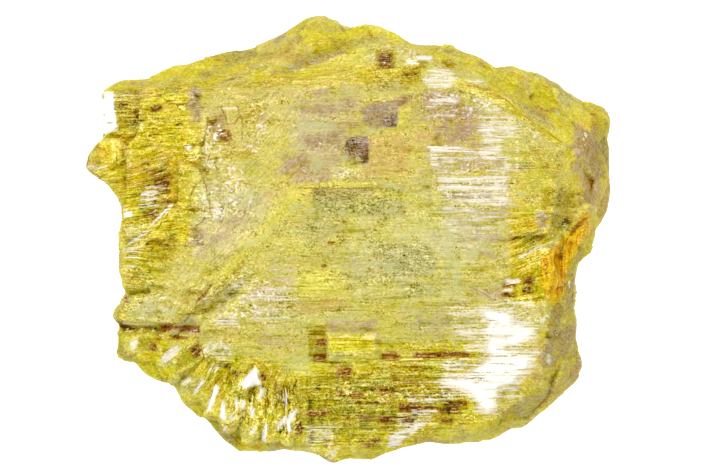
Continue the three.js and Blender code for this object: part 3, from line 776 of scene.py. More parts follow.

# %% Pearly sheets in the middle and on the right, painted as highlights
PEARL_HIGHLIGHTS_RIGHT = [
    # upper middle
    (block(415, 60, 431, 65), 2, 1.0), (block(420, 110, 440, 113), 2, 0.5),
    (block(404, 64.5, 417, 69), 1.5, 1.1),
    # lower middle
    (block(304, 418, 336, 446), 8, 0.42),
    ([(396, 412), (430, 410), (436, 418), (408, 424), (392, 424)], 5, 0.42),
    (block(410, 405.5, 434, 407.5), 1.5, 1.0), (block(397, 408.4, 431, 410), 1.5, 0.9),
    ([(387, 442), (389, 429), (399, 423), (424, 416), (420, 424), (404, 433), (396, 443)], 4, 0.9),
    ([(253, 401), (257, 405), (255, 414), (252, 409)], 1.5, 1.15),
    ([(268, 417), (271, 421), (268, 440), (263, 436)], 1.5, 1.2),
    ([(249, 421), (254, 426), (259, 420), (258, 426), (253, 430)], 1.5, 1.1),
    ([(277, 424), (283, 413), (290, 410), (288, 418), (280, 426)], 2, 1.0),
    ([(242, 380.4), (258, 362.6), (259.4, 364.3), (263, 380), (248, 385)], 2, 1.2),
    ([(286, 387), (288, 386), (289, 396), (287, 407), (285, 400)], 1.5, 1.0),
    ([(299, 404), (296, 412), (292, 419), (294, 426), (289, 428), (288, 418), (292, 408)], 2, 1.2),
    ([(262, 381), (266, 384), (266, 393), (261, 396)], 2, 1.0),
    # upper right
    ([(426, 73), (440, 71), (452, 78), (448, 80), (428, 79)], 3, 0.65),
    ([(421, 80), (440, 79), (456, 82), (452, 86), (422, 87)], 3, 0.85),
    ([(422, 87), (452, 87), (446, 93), (426, 92)], 3, 0.75), (block(464, 84, 484, 88), 3, 0.7),
    ([(427, 103), (444, 101), (458, 104), (450, 107), (430, 107.5)], 2.5, 0.75),
    (block(424, 117, 452, 120), 3, 0.45),
    ([(480, 104), (500, 113), (520, 128), (500, 132), (480, 118)], 8, 0.34),
    ([(474, 124), (488, 119), (512, 127), (514, 138), (498, 141), (476, 138)], 5, 0.6),
    ([(475, 136), (486, 133), (500, 140), (497, 150), (478, 149)], 4, 0.75),
    ([(473, 149), (496, 148), (499, 158), (484, 162), (474, 158)], 4, 0.7),
    ([(426, 149), (452, 148), (474, 152), (466, 155), (428, 155)], 2.5, 0.75),
    (block(427, 154, 436, 168), 2.5, 0.62), (block(436, 156, 474, 166), 5, 0.5),
    (block(497, 158, 506, 176), 5, 0.55), (block(440, 170, 503, 179), 5, 0.42),
    (block(434.5, 179.5, 503, 183.5), 1.5, 0.78), (block(434.5, 187.5, 503, 191.5), 1.5, 0.86),
    ([(470, 108), (500, 110), (520, 130), (508, 150), (510, 205), (434, 206), (426, 150),
      (470, 146)], 16, 0.26),
    (ring(474, 172, 10, 5), 3, -0.9), (block(452, 163, 470, 168), 3, -0.7),
    (block(511, 143, 513, 174), 1.5, 0.6),
    # right, halfway down
    ([(440, 300), (480, 298), (480, 318), (446, 314)], 10, 0.42), (block(438, 194, 490, 201), 2, 0.5),
    (block(488, 192, 503, 203), 2, 0.66), (block(448, 202, 501, 205), 2, 0.75),
    (block(441, 207.5, 467, 212), 2, 0.6), (block(448, 226.5, 457, 230), 1.5, 0.5),
    (block(451, 232.5, 482, 237), 3, 0.4), (ring(470, 222, 34, 12), 12, 0.32),
    (block(500, 278, 516, 281.5), 1.5, 1.0), (block(499, 287.5, 509, 290.5), 1.5, 1.0),
    (block(480, 299, 530, 305), 3, 0.5),
    ([(513, 256), (530, 246), (551, 241), (552, 245), (532, 251), (516, 260)], 2, 0.5),
    # lower right
    ([(479, 305), (508, 306), (510, 316), (522, 320), (533, 327), (528, 336), (520, 341), (514, 349),
      (532, 349), (528, 364), (521, 372), (514, 378), (512, 384), (500, 385), (494, 395), (493, 409),
      (482, 410), (474, 405), (466, 392), (456, 387), (440, 385), (433, 380), (444, 372), (460, 371),
      (470, 362), (484, 353), (478, 345), (482, 336), (476, 330), (481, 322), (474, 314)], 8, 1.06),
    ([(396, 384), (430, 372), (470, 360), (472, 388), (430, 388)], 16, 0.35),
    (block(440, 356, 470, 368), 6, 0.62),
    ([(404, 390), (452, 386), (462, 392), (440, 400), (406, 402)], 5, 0.4),
    ([(452, 322), (482, 320), (484, 350), (464, 350)], 12, 0.5), (ring(508, 346, 7, 3), 4, -0.35),
    (ring(495, 334, 10, 1.2, 8), 2, -0.35),
    ([(499, 386), (510, 385), (520, 392), (511, 399), (505, 402), (500, 396)], 3, 0.45),
    (ring(545, 357, 2.6, 5.5), 2, 0.7),
]
lay_mark("pearl", PEARL_HIGHLIGHTS_LEFT + PEARL_HIGHLIGHTS_RIGHT)

# %% [markdown]
# ## Crushed edges
#
# Crushed edges are a heap of tiny blades that glitter one by one. Modelling each blade would take
# millions of faces, so the rings below only say where they lie and how densely, and the finish paints
# their glitter into the colour as painted glints.

# %% Sparkle
SPARKLE = [
    # upper left
    (ring(185, 110, 3, 3), 2, 0.8), (ring(169, 100, 4, 3), 2, 0.8), (ring(146, 128, 2.5, 8), 2, 0.8),
    (ring(214, 137, 4, 6), 2, 0.9), (ring(202, 160, 2.4, 3), 1.5, 1.0),
    (ring(202.5, 143, 2.5, 4), 1.5, 1.0), (ring(213, 148, 3, 3), 1.5, 0.9),
    (ring(230, 156, 4, 4), 3, 0.6), (ring(230, 187, 2.5, 6), 2, 0.6), (ring(216, 98, 1.6, 1.6), 1, 1.0),
    (ring(231.5, 92, 1.6, 1.6), 1, 0.9), (ring(222, 168, 1.6, 1.6), 1, 1.0),
    (ring(196, 150, 14, 12), 8, 0.5), (ring(216, 148, 14, 26), 8, 0.62),
    (ring(234, 186, 12, 24), 8, 0.48), (ring(158, 132, 26, 12), 10, 0.35),
    (ring(170, 100, 22, 12), 10, 0.2),
    # left, halfway down
    (ring(214, 196, 3, 5), 2, 0.9), (ring(222, 214, 8, 7), 3, 1.0), (ring(183, 213, 2.5, 2), 1.5, 0.9),
    (ring(243, 275, 12, 10, -30), 8, 0.35), (ring(240, 285, 10, 3), 3, 0.7),
    (ring(200, 240, 10, 3), 3, 0.6), (ring(165, 296, 5, 3), 2, 0.7), (ring(212, 208, 20, 14), 8, 0.6),
    (ring(196, 200, 12, 24), 12, 0.3), (ring(150, 305, 20, 12), 10, 0.35),
    # lower left
    (ring(152, 360, 3, 2), 1.5, 0.9), (ring(242, 414, 5, 5, 40), 2, 1.0),
    (ring(220, 348, 16, 12), 6, 0.5), (ring(170, 352, 14, 9), 6, 0.45), (ring(140, 330, 22, 6), 6, 0.4),
    # upper middle
    (ring(265, 125, 4, 14), 5, 0.4), (ring(273, 34.5, 4, 1.8), 1.5, 0.5),
    (ring(370, 51.5, 4, 1.5), 1.5, 0.7), (ring(404, 55, 2.5, 3), 2, 0.7),
    (ring(382, 103, 3, 1.5), 1.5, 0.6), (ring(349, 175, 10, 2), 2, 0.6), (ring(331, 146, 14, 2), 2, 0.3),
    (ring(302, 170, 8, 3), 3, 0.3), (ring(258, 130, 12, 26), 10, 0.42), (ring(380, 60, 16, 14), 8, 0.2),
    (ring(410, 58, 10, 8), 6, 0.4),
    # middle
    (ring(254, 206, 4, 8, 20), 4, 0.4), (ring(250, 300, 44, 28), 18, 0.35),
    # lower middle
    (ring(333, 447, 8, 6), 4, 1.0), (ring(262, 395, 5, 4), 2, 1.1), (ring(368, 374, 1.8, 1.5), 1, 0.8),
    (ring(346.5, 376, 2, 1.6), 1, 0.9), (ring(250, 405, 34, 26), 16, 0.5),
    (ring(290, 415, 14, 20), 8, 0.45), (ring(360, 388, 50, 12), 8, 0.3),
    (ring(430, 390, 34, 8), 6, 0.35), (ring(346, 378, 10, 6), 4, 0.4),
    # upper right
    (ring(530, 133, 12, 6, 30), 6, 0.4), (ring(549, 131.5, 2.4, 2), 1.5, 1.0),
    (ring(559, 133, 2.4, 3), 1.5, 0.9), (ring(586, 134, 2.6, 3.4), 1.5, 1.1),
    (ring(582, 139, 2, 2), 1.5, 0.8), (ring(470, 105, 40, 12), 10, 0.35),
    (ring(520, 135, 20, 16), 8, 0.3),
    # right, halfway down
    (ring(531, 316, 13, 5), 5, 0.6), (ring(534, 298, 9, 4), 5, 0.5), (ring(532, 262, 10, 8), 6, 0.4),
    (ring(556, 222, 9, 6), 4, 0.2), (ring(567, 284, 2, 4), 2, 0.7), (ring(461, 301, 2, 1.5), 1, 0.9),
    (ring(540, 246, 16, 10), 6, 0.35), (ring(522, 300, 22, 12), 6, 0.45),
    (ring(470, 190, 40, 24), 12, 0.35), (ring(560, 222, 10, 8), 5, 0.25),
    # lower right
    (ring(469, 412, 3, 4), 2, 0.5), (ring(505, 340, 24, 18), 8, 0.4),
]
lay_mark("sparkle", SPARKLE)

# %% [markdown]
# ## Powder
#
# Powder lies where the mineral was rubbed: pale, matte and without an edge. Small soft rings are enough
# for most of it, because the finish breaks them up with the same noise as the other marks.

# %% Powder
PALE = [
    # left, halfway down
    (ring(193, 318, 9, 5), 3, 0.9), (ring(144, 300, 14, 10), 10, 0.5), (ring(150, 312, 24, 8), 8, 0.5),
    # lower left
    (ring(178, 330, 3.5, 2.5), 2, 1.0),
    # upper middle
    ([(300, 122), (336, 124), (340, 134), (306, 140)], 6, 0.7), (ring(300, 150, 8, 5), 5, 0.6),
    (ring(340, 112, 6, 5), 4, 0.6), (ring(317, 167, 9, 8), 6, 0.8), (ring(389, 186, 6, 3), 3, 0.9),
    (ring(325, 131, 10, 7), 5, 0.8), (ring(304, 129, 5, 5), 3, 0.7), (ring(372, 134, 6, 3), 2, 0.8),
    (ring(347, 98, 4, 4), 3, 0.8), (ring(346, 160, 5, 4), 3, 0.7), (ring(358, 161, 5, 3), 3, 0.7),
    (ring(388, 90, 14, 8), 6, 0.45),
    # middle
    (ring(342, 213, 4, 4), 2, 1.0), (ring(341, 203, 3.5, 2.5), 2, 0.9),
    (ring(391, 211, 8, 3, -8), 3, 0.9), (ring(367, 244, 5, 5), 4, 0.8), (ring(428, 271, 8, 7), 5, 0.8),
    (ring(394, 270, 8, 7), 7, 0.7), (ring(298, 207, 9, 4, -35), 4, 0.7), (ring(312, 211, 4, 4), 3, 0.8),
    (ring(278, 227, 16, 4, -30), 4, 0.5), (ring(253, 244, 16, 5, -35), 5, 0.55),
    (block(330, 311, 378, 318), 5, 0.7), (ring(280, 316, 16, 4), 4, 0.8), (ring(250, 200, 6, 9), 5, 0.6),
    (block(395, 225, 440, 242), 10, 0.4), (block(400, 300, 445, 312), 8, 0.45),
    # lower middle
    (ring(300, 360, 13, 12), 8, 0.6), (ring(275, 446, 8, 2.4), 2, 1.1),
    # right, halfway down
    (ring(468, 253, 6, 5), 3, 1.0), ([(438, 206), (452, 206), (456, 300), (442, 300)], 6, 0.55),
    ([(448, 246), (458, 246), (460, 290), (446, 290)], 5, 0.6), (ring(516, 195.5, 4, 4), 2, 0.9),
    (ring(508, 205, 3, 3), 2, 0.8),
    # lower right
    (ring(545, 357, 3, 6), 2, 1.1),
]
lay_mark("pale", PALE)

# %% [markdown]
# ## Shade
#
# Bruised sheets are olive grey and a little darker. Places behind a raised edge, creases and facets turned
# away from the light get the same colour as painted shade: real shadows are weak in the soft light of this
# studio, so the largest of them are painted with a mark.

# %% Shade
SHADE = [
    # upper left
    (block(196, 140, 216, 176), 8, 0.4),
    # left, halfway down
    (ring(228, 260, 14, 4, -40), 4, 0.6),
    ([(194, 314), (236, 268), (262, 240), (298, 204), (302, 208), (264, 248), (236, 276),
      (200, 316)], 6, 0.6),
    (ring(204, 292, 6, 14, 35), 4, 0.6), (block(128, 256, 158, 290), 8, 0.55),
    # lower left
    ([(210, 418), (229, 420), (232, 432), (242, 443), (236, 446), (222, 432)], 3, 1.1),
    ([(118, 302), (124, 302), (122, 322), (128, 346), (118, 340)], 4, 0.6),
    # upper middle
    ([(280, 70), (300, 58), (345, 42), (384, 35), (386, 42), (346, 52), (304, 66)], 5, 0.9),
    ([(196, 74), (250, 52), (300, 34), (306, 38), (256, 60), (204, 84)], 6, 0.8),
    (ring(322, 26, 26, 12), 10, 0.55), (block(400, 98, 428, 128), 10, 0.55),
    (block(340, 128, 392, 136), 6, 0.4), (block(340, 146, 362, 166), 5, 0.7),
    (block(372, 76, 410, 98), 8, 0.5), (block(245, 96, 262, 128), 5, 0.5),
    (ring(272, 44, 16, 6, -25), 5, 0.6),
    # middle
    (block(314, 189.5, 402, 216), 5, 1.15), (block(314, 190, 366, 200), 4, 1.4),
    (block(302, 212, 346, 236), 10, 0.6),
    ([(374, 242), (428, 242), (434, 262), (428, 276), (420, 276), (378, 280)], 8, 1.1),
    (block(330, 262, 378, 290), 10, 0.5), (block(400, 281, 436, 295), 5, 0.8),
    (block(360, 290, 400, 304), 8, 0.45), (ring(277, 313, 8, 3.5), 3, 1.2),
    (ring(288, 208, 14, 14), 10, 0.5), (block(274, 290, 304, 318), 8, 0.5),
    (block(304, 226, 336, 262), 10, 0.5),
    # lower middle
    ([(300, 404), (380, 396), (380, 440), (330, 445), (300, 430)], 14, 0.5),
    (block(396, 318, 440, 346), 8, 0.42),
    # upper right
    ([(506, 100), (529, 106), (547, 121), (547, 131), (525, 120)], 3, 0.9),
    ([(560, 86), (584, 98), (612, 108), (616, 116), (584, 106), (558, 94)], 5, 0.6),
    ([(588, 120), (620, 110), (625, 200), (590, 250), (575, 240), (600, 190)], 12, 0.45),
    ([(402, 40), (440, 46), (470, 54), (468, 62), (430, 58), (400, 50)], 8, 0.6),
    # lower right
    ([(545, 300), (578, 300), (584, 350), (560, 400), (500, 432), (440, 440), (500, 410),
      (535, 360)], 10, 0.62),
    (block(455, 398, 462, 430), 2, 0.6),
    ([(561, 328), (576, 322), (578, 345), (572, 352), (560, 342)], 3, 0.9),
]
lay_mark("shade", SHADE)

# %% [markdown]
# ## Fresh yellow, and painted light
#
# Fresh sheets are bright lemon yellow. The same mark also paints facets that face the light, and the lit
# ridge of the fold, lighter, as painted light. The second list says where all colours are deeper, because
# the sheets there are clean down to some depth: it doesn't lay a colour of its own, but makes the others
# richer.

# %% Lemon
LEMON_AND_LIT = [
    # left, halfway down
    # the next two patches are painted light on the ridge of the fold
    ([(318, 182), (300, 215), (250, 262), (222, 300), (200, 318), (192, 312), (215, 280), (262, 225),
      (290, 190)], 14, 0.85),
    ([(210, 322), (238, 288), (262, 262), (268, 268), (246, 298), (224, 326)], 8, 0.7),
    (ring(122, 312, 6, 10), 4, 0.6), (block(180, 224, 192, 244), 5, 0.9),
    # upper middle
    (block(300, 184, 376, 189), 2.5, 1.0),
    ([(396, 110), (406, 104), (412, 112), (404, 130), (396, 130)], 4, 0.7),
    (ring(322, 24, 14, 9), 6, 0.5), (ring(370, 31, 12, 5), 5, 0.85),
    ([(290, 74), (320, 64), (352, 50), (372, 48), (360, 70), (330, 78), (292, 84)], 6, 0.8),
    # middle
    ([(374, 189), (404, 195), (406, 202), (376, 197)], 3, 1.2),
    ([(297, 268), (342, 266), (352, 292), (300, 296)], 6, 0.62), (ring(334, 241, 8, 4), 3, 0.7),
    (ring(310, 250, 16, 10), 8, 0.4),
    # lower middle
    (block(329, 331, 375, 350), 3, 0.85), (block(352, 367, 388, 371), 2, 0.9),
    # upper right
    ([(440, 78), (470, 84), (492, 92), (506, 102), (528, 117), (549, 131), (562, 144), (558, 150),
      (543, 140), (522, 127), (500, 112), (484, 100), (456, 94)], 3, 0.95),
    # the next patch is painted light on a facet that faces the light
    ([(531, 77), (545, 82), (558, 96), (558, 106), (546, 112), (531, 106)], 4, 1.0),
    ([(579, 200), (580, 184), (590, 170), (596, 172), (594, 182), (586, 186), (586, 200)], 2.5, 1.1),
    ([(605, 108), (612, 106), (614, 122), (606, 138), (602, 122)], 4, 0.9),
    ([(551, 112), (566, 119), (566, 122), (552, 116)], 2, 1.0),
    ([(554, 120), (570, 122), (566, 146), (558, 142)], 4, 0.9),
    ([(556, 150), (566, 152), (572, 180), (572, 205), (561, 205), (558, 180)], 4, 0.9),
    ([(492, 68), (530, 76), (516, 84), (512, 98), (496, 92)], 6, 0.6), (ring(474, 176, 8, 4), 3, 0.8),
    # right, halfway down
    (block(410, 212, 470, 240), 14, 0.4),
    # the next patch is painted light on a facet that faces the light
    ([(557, 325), (570, 310), (575, 310), (571, 324), (561, 328)], 2, 1.0),
    # lower right
    ([(470, 418), (512, 416), (514, 432), (474, 438)], 5, 0.8),
    ([(436, 428), (500, 410), (512, 400), (530, 384), (534, 390), (505, 418), (440, 438)], 4, 0.6),
]
lay_mark("lemon", LEMON_AND_LIT)

# %% Rich
RICH = [
    # upper left
    ([(92, 85), (190, 75), (206, 96), (196, 120), (212, 140), (200, 170), (196, 215), (172, 262),
      (146, 300), (118, 332), (112, 200), (85, 165)], 34, 0.95),
    # left, halfway down
    (block(176, 220, 196, 246), 6, 0.8),
    # lower left
    ([(112, 320), (200, 335), (210, 360), (180, 385), (140, 372), (114, 345)], 10, 0.8),
    # upper middle
    (block(250, 66, 420, 92), 10, 0.6), (block(240, 92, 268, 132), 10, 0.5),
    # lower middle
    (block(328, 331, 375, 349), 5, 0.7),
    ([(150, 365), (200, 350), (260, 355), (300, 360), (475, 340), (482, 420), (430, 445), (230, 450),
      (180, 385)], 14, 0.9),
    (block(376, 338, 474, 350), 6, 0.75),
    # upper right
    ([(450, 80), (492, 92), (528, 117), (562, 144), (556, 150), (522, 127), (484, 100)], 6, 0.9),
    (block(505, 155, 565, 215), 14, 0.5),
    # right, halfway down
    ([(505, 210), (548, 205), (560, 262), (545, 305), (505, 300)], 10, 0.9),
    # lower right
    ([(430, 425), (500, 410), (530, 380), (540, 400), (500, 440), (440, 442)], 8, 0.8),
]
lay_mark("rich", RICH)

# %% [markdown]
# ## Wide areas
#
# Some properties belong to a whole region: where the striations spread like a fan, where they follow the
# fold, where they are closest, where a pale haze lies over them, and where the yellow turns greener or
# warmer.

# %% Fan, fold and close lines
FAN = [
    ([(104, 337), (206, 337), (214, 360), (262, 362), (303, 374), (307, 460), (200, 460),
      (104, 400)], 10, 1.0),
]
FOLD = [
    ([(158, 334), (182, 338), (206, 314), (228, 288), (262, 248), (300, 208), (326, 180), (304, 150),
      (300, 96), (262, 92), (254, 150), (240, 188), (214, 224), (190, 262), (158, 302)], 8, 1.0),
]
LINED = [
    (block(222, 284, 484, 350), 18, 1.0), (block(430, 176, 510, 300), 14, 0.6),
]
lay_mark("fan", FAN)
lay_mark("fold", FOLD)
lay_mark("lined", LINED)

# %% Haze, greener and warmer areas
HAZE = [
    (ring(452, 238, 52, 30), 30, 0.8), (ring(392, 262, 62, 34), 30, 0.6),
    ([(206, 186), (250, 176), (296, 194), (270, 236), (222, 268), (196, 252)], 20, 0.8),
    (ring(260, 292, 30, 20), 20, 0.4),
    ([(128, 296), (180, 292), (196, 312), (180, 322), (126, 320)], 10, 0.5),
    (block(292, 94, 348, 186), 16, 0.8), (block(404, 300, 480, 338), 16, 0.3),
    ([(124, 222), (152, 222), (148, 256), (124, 256)], 8, 0.6),
]
GREEN = [
    ([(112, 300), (200, 330), (300, 345), (484, 340), (486, 420), (430, 450), (230, 462),
      (110, 400)], 24, 1.0),
    ([(240, 270), (300, 200), (470, 200), (484, 340), (300, 345), (215, 325)], 30, 0.5),
    (block(110, 190, 160, 310), 16, 0.6),
]
WARM = [
    ([(215, 90), (420, 66), (500, 110), (500, 184), (300, 184), (215, 190)], 24, 0.45),
    ([(566, 116), (616, 108), (618, 210), (600, 250), (576, 236), (562, 196)], 12, 1.0),
    ([(572, 300), (590, 300), (592, 380), (540, 410), (540, 390), (572, 360)], 10, 0.8),
]
lay_mark("haze", HAZE)
lay_mark("green", GREEN)
lay_mark("warm", WARM)

# %% [markdown]
# ## Cracks and blade edges
#
# A cleft one tenth of a millimetre wide is far thinner than the mesh. Its line is stored as a distance
# instead, which the mesh carries faithfully, and the finish later cuts the line out of it. The side on
# which a corner lies counts as well, because a line can only be thinner than the mesh if its two sides
# differ. Two short lines along the lower edge of the fold are no clefts but painted shade.

# %% Cracks
DARK_LINES = [
    [(125, 151), (121, 155), (120, 165), (119, 169), (110, 175), (103, 179)], [(125, 151), (142, 150)],
    [(211, 121), (210, 134), (206, 148)],
    [(202, 168), (206, 177), (210, 188), (213, 203), (214, 212), (206, 222), (200, 226)],
    [(213, 157), (210, 165), (206, 175)], [(194, 206), (195, 196), (199, 187), (206, 182)],
    [(224, 111), (228, 118), (230, 127), (238, 127), (242, 120), (241, 111)],
    [(241, 110), (245, 124), (245, 141)], [(98, 145), (100, 124), (102, 106), (105, 92)],
    [(104, 125), (115, 124)], [(98, 144), (92, 157), (90, 168), (96, 173), (104, 178)],
    [(156, 220), (163, 216), (170, 208), (176, 203)],
    [(132, 247), (144, 241), (155, 232), (164, 226), (172, 214)], [(123, 322), (130, 326), (137, 329)],
    [(158, 329), (176, 327), (203, 325)], [(184, 312), (200, 312)], [(202, 339), (208, 357)],
    [(177, 335), (193, 335)], [(155, 267), (156, 276), (154, 285)],
    [(300, 189.5), (340, 190), (378, 189.5)], [(360, 106), (402, 105), (410, 101)],
    [(325, 400), (352, 399), (391, 399)], [(381, 353), (398, 352.5)],
    [(412, 353), (436, 352), (464, 350)], [(585, 218), (573, 225), (566, 236), (557, 250), (558, 259)],
    [(541, 214), (556, 216), (573, 212)], [(529, 243), (538, 237)],
    [(496, 385), (508, 383.5), (517, 386), (525, 392.5)], [(476, 423), (496, 422), (508, 427)],
    [(494, 99), (503, 104), (525, 121.5), (545, 134), (558, 144)], [(530, 106), (546, 118), (560, 128)],
    [(211, 419), (231, 421), (233, 432), (243, 443)], [(172, 372), (170, 380), (174, 386)],
    # the first two lines below are painted shade along the lower edge of the fold
    [(188, 320), (196, 311), (203, 306)], [(214, 297), (222, 287), (229, 283)], [(240, 232), (251, 222)],
    [(218, 379), (212, 398), (209, 409)], [(286, 386), (287, 396), (286, 406)],
    [(440, 353.2), (476, 353.6), (512, 353)], [(456, 369.4), (482, 369), (511, 369.6)],
    [(470, 379), (511, 378.6)], [(476, 318), (496, 318.4)], [(484, 333), (506, 334)],
    [(500, 345), (526, 344.4)], [(474, 360.6), (509, 361)], [(452, 375), (480, 374.6)],
]
print(len(DARK_LINES), "cracks")

# %% [markdown]
# ## Edges that gleam
#
# The thin upright edges of blades catch the light as fine white lines, which are painted into the colour
# as highlights. They are stored in the same way as the cracks, and the finish later paints the cracks dark
# and these edges bright.

# %% Gleams
GLEAMS = [
    [(177, 205), (170, 214), (163, 223), (154, 230)], [(154, 230), (143, 238), (132, 244)],
    [(150, 242), (142, 248), (133, 250)], [(101, 146), (110, 135), (120, 131)],
    [(92, 169), (100, 169), (110, 167)], [(207, 374), (201, 387), (197, 391)], [(239, 395), (238, 408)],
    [(254, 402), (253, 412)], [(287.5, 386), (288.5, 396), (287.5, 406)],
    [(126, 322), (142, 324), (160, 324)], [(224, 111.5), (241, 111.5)], [(411, 406.5), (434, 406)],
    [(397, 409), (430, 409)], [(400, 356), (446, 356), (472, 355)], [(552, 113), (558, 115), (566, 119)],
]
FAR = 8.0


def line_sides(plan, lines):
    """The distance to the nearest line, and the same with a sign for the side on which the point lies."""
    nearest = np.full(len(plan), FAR)
    signed = np.full(len(plan), FAR)
    for line in lines:
        line = np.array(line, float)
        near = ((plan > line.min(0) - FAR) & (plan < line.max(0) + FAR)).all(axis=1)
        for a, b in zip(line, line[1:]):
            run = b - a
            away = plan[near] - a
            along = np.clip((away @ run) / (run @ run), 0, 1)
            apart = np.hypot(*(away - along[:, None] * run).T)
            side = np.where(run[0] * away[:, 1] - run[1] * away[:, 0] < 0, -1.0, 1.0)
            closer = apart < nearest[near]
            index = np.flatnonzero(near)[closer]
            nearest[index] = apart[closer]
            signed[index] = (apart * side)[closer]
    return nearest, signed


for name, lines in (("crack", DARK_LINES), ("gleam", GLEAMS)):
    nearest, signed = line_sides(plan, lines)
    store(name + "_near", np.where(upward > 0.5, nearest, FAR))
    store(name + "_side", signed)
    print(name + ":", len(lines), "lines,", (nearest < 1).sum(), "corners lie within one step of them")

# %% [markdown]
# ## What the shape says about the colour
#
# Hollows are painted darker, as painted shade, and ridges a little lighter. How hollow a place is follows
# from the mesh: it is how far a corner lies below the average of its surroundings. The chips and the bend
# of the striations are stored as well, so that colour and relief agree.

# %% Hollows, chips and bends
NEIGHBOURHOOD = 6
surroundings = averaged(skin.data, where, NEIGHBOURHOOD)
hollowness = ((surroundings - where) * facing).sum(axis=1)
store("hollow", np.clip(0.5 + 1.6 * hollowness, 0, 1))
store("cleavage", cleavage_share(where, facing))
store("bend", bend(plan))
store("chip_hue", chip_numbers[:, 0] * 2)
store("chip_light", chip_numbers[:, 1] * 2)
print("the deepest hollow lies", hollowness.max().round(2), "mm below its surroundings")

# %% [markdown]
# ## Shader maths in plain Python
#
# A finish like this one needs many small sums. Wrapping a socket in a class with its own plus, minus and
# times lets the sums read like formulas, while Blender still gets ordinary nodes.

# %% Sockets that can be added
class Value:
    """A socket that can be added, multiplied and cut like a number."""

    def __init__(self, finish, socket):
        self.finish, self.socket = finish, socket

    def _math(self, operation, *others):
        return self.finish.node("ShaderNodeMath", {"operation": operation}, (self, *others))

    def __add__(self, other):
        return self._math("ADD", other)

    def __sub__(self, other):
        return self._math("SUBTRACT", other)

    def __rsub__(self, other):
        return self.finish.node("ShaderNodeMath", {"operation": "SUBTRACT"}, (other, self))

    def __mul__(self, other):
        return self._math("MULTIPLY", other)

    __radd__, __rmul__ = __add__, __mul__

    def step(self, low, high):
        smooth = {"interpolation_type": "SMOOTHSTEP"}
        return self.finish.node("ShaderNodeMapRange", smooth, (self, low, high))

    def above(self, level, soft=0.4):
        return self.step(level - soft, level + soft)

    def max(self, other):
        return self._math("MAXIMUM", other)

    def abs(self):
        return self._math("ABSOLUTE")


print("a socket also knows", ", ".join(name for name in vars(Value) if not name.startswith("_")))

# %% [markdown]
# ## A class for a finish
#
# One method makes any node: it takes the node's type, its settings, and the values or links of its
# inputs. The other methods are short names for what this finish needs most, such as a noise whose size is
# given in millimetres, or cells with a random colour each.

# %% A finish
class Finish:
    """A material and the nodes that make it."""

    def __init__(self, name):
        self.material = bpy.data.materials.new(name)
        self.material.use_nodes = True
        self.tree = self.material.node_tree
        self.shader = self.tree.nodes["Principled BSDF"]
        self.place = self.node("ShaderNodeTexCoord", output="Object")

    def node(self, kind, settings=None, values=(), output=0):
        made = self.tree.nodes.new(kind)
        for key, value in (settings or {}).items():
            setattr(made, key, value)
        pairs = values.items() if isinstance(values, dict) else enumerate(values)
        for key, value in pairs:
            if isinstance(value, Value):
                self.tree.links.new(value.socket, made.inputs[key])
            else:
                made.inputs[key].default_value = value
        return Value(self, made.outputs[output])

    def mark(self, name):
        return self.node("ShaderNodeAttribute", {"attribute_name": name}, output="Fac")

    def vector(self, operation, *values):
        return self.node("ShaderNodeVectorMath", {"operation": operation}, values)

    def scaled(self, vector, amount):
        values = {"Vector": vector, "Scale": amount}
        return self.node("ShaderNodeVectorMath", {"operation": "SCALE"}, values)

    def stretched(self, size, offset=(0, 0, 0)):
        """The place, scaled so that one unit is that size in millimetres."""
        values = {"Vector": self.place, "Scale": [1000 / s for s in size], "Location": offset}
        return self.node("ShaderNodeMapping", {}, values)

    def noise(self, size, detail=2.0, roughness=0.55, offset=(0, 0, 0)):
        """Noise around zero, mostly between -1 and 1, with features of that size in millimetres."""
        values = {"Vector": self.stretched(size, offset), "Scale": 1.0}
        values.update({"Detail": detail, "Roughness": roughness})
        return (self.node("ShaderNodeTexNoise", {}, values) - 0.5) * 8

    def cells(self, size, offset=(0, 0, 0), metric="EUCLIDEAN"):
        """A random colour for each cell of a Voronoi diagram, as a vector from -0.5 to 0.5."""
        values = {"Vector": self.stretched(size, offset), "Scale": 1.0}
        made = self.node("ShaderNodeTexVoronoi", {"distance": metric}, values, "Color")
        return self.vector("SUBTRACT", made, (0.5, 0.5, 0.5))

    def part(self, vector, index):
        return self.node("ShaderNodeSeparateXYZ", {}, (vector,), index)

    def blend(self, share, a, b):
        return self.node("ShaderNodeMix", {"data_type": "RGBA"}, {0: share, 6: a, 7: b}, 2)

    def tell(self, step):
        print(step + ":", len(self.tree.nodes), "nodes so far")


f = Finish("orpiment")
f.tell("an empty finish")

# %% [markdown]
# ## The colours
#
# Soft yellow is laid first, then what shows through it: gold and brown where a sheet is clear, mauve
# where it is tarnished. Pale powder and pearly streaks come last, as on the real face, where they lie on
# top; the pearly streaks are painted highlights. The colours are given as they look on a screen. The three
# steps are added in small amounts, and make a place lighter, or redder at the same brightness.

# %% Colours
def colour(red, green, blue):
    """A colour as it looks on a screen, 0 to 255, turned into the amounts of light that a shader needs."""
    screen = [c / 255 for c in (red, green, blue)]
    light = [((c + 0.055) / 1.055) ** 2.4 if c > 0.04 else c / 12.92 for c in screen]
    return (*light, 1.0)


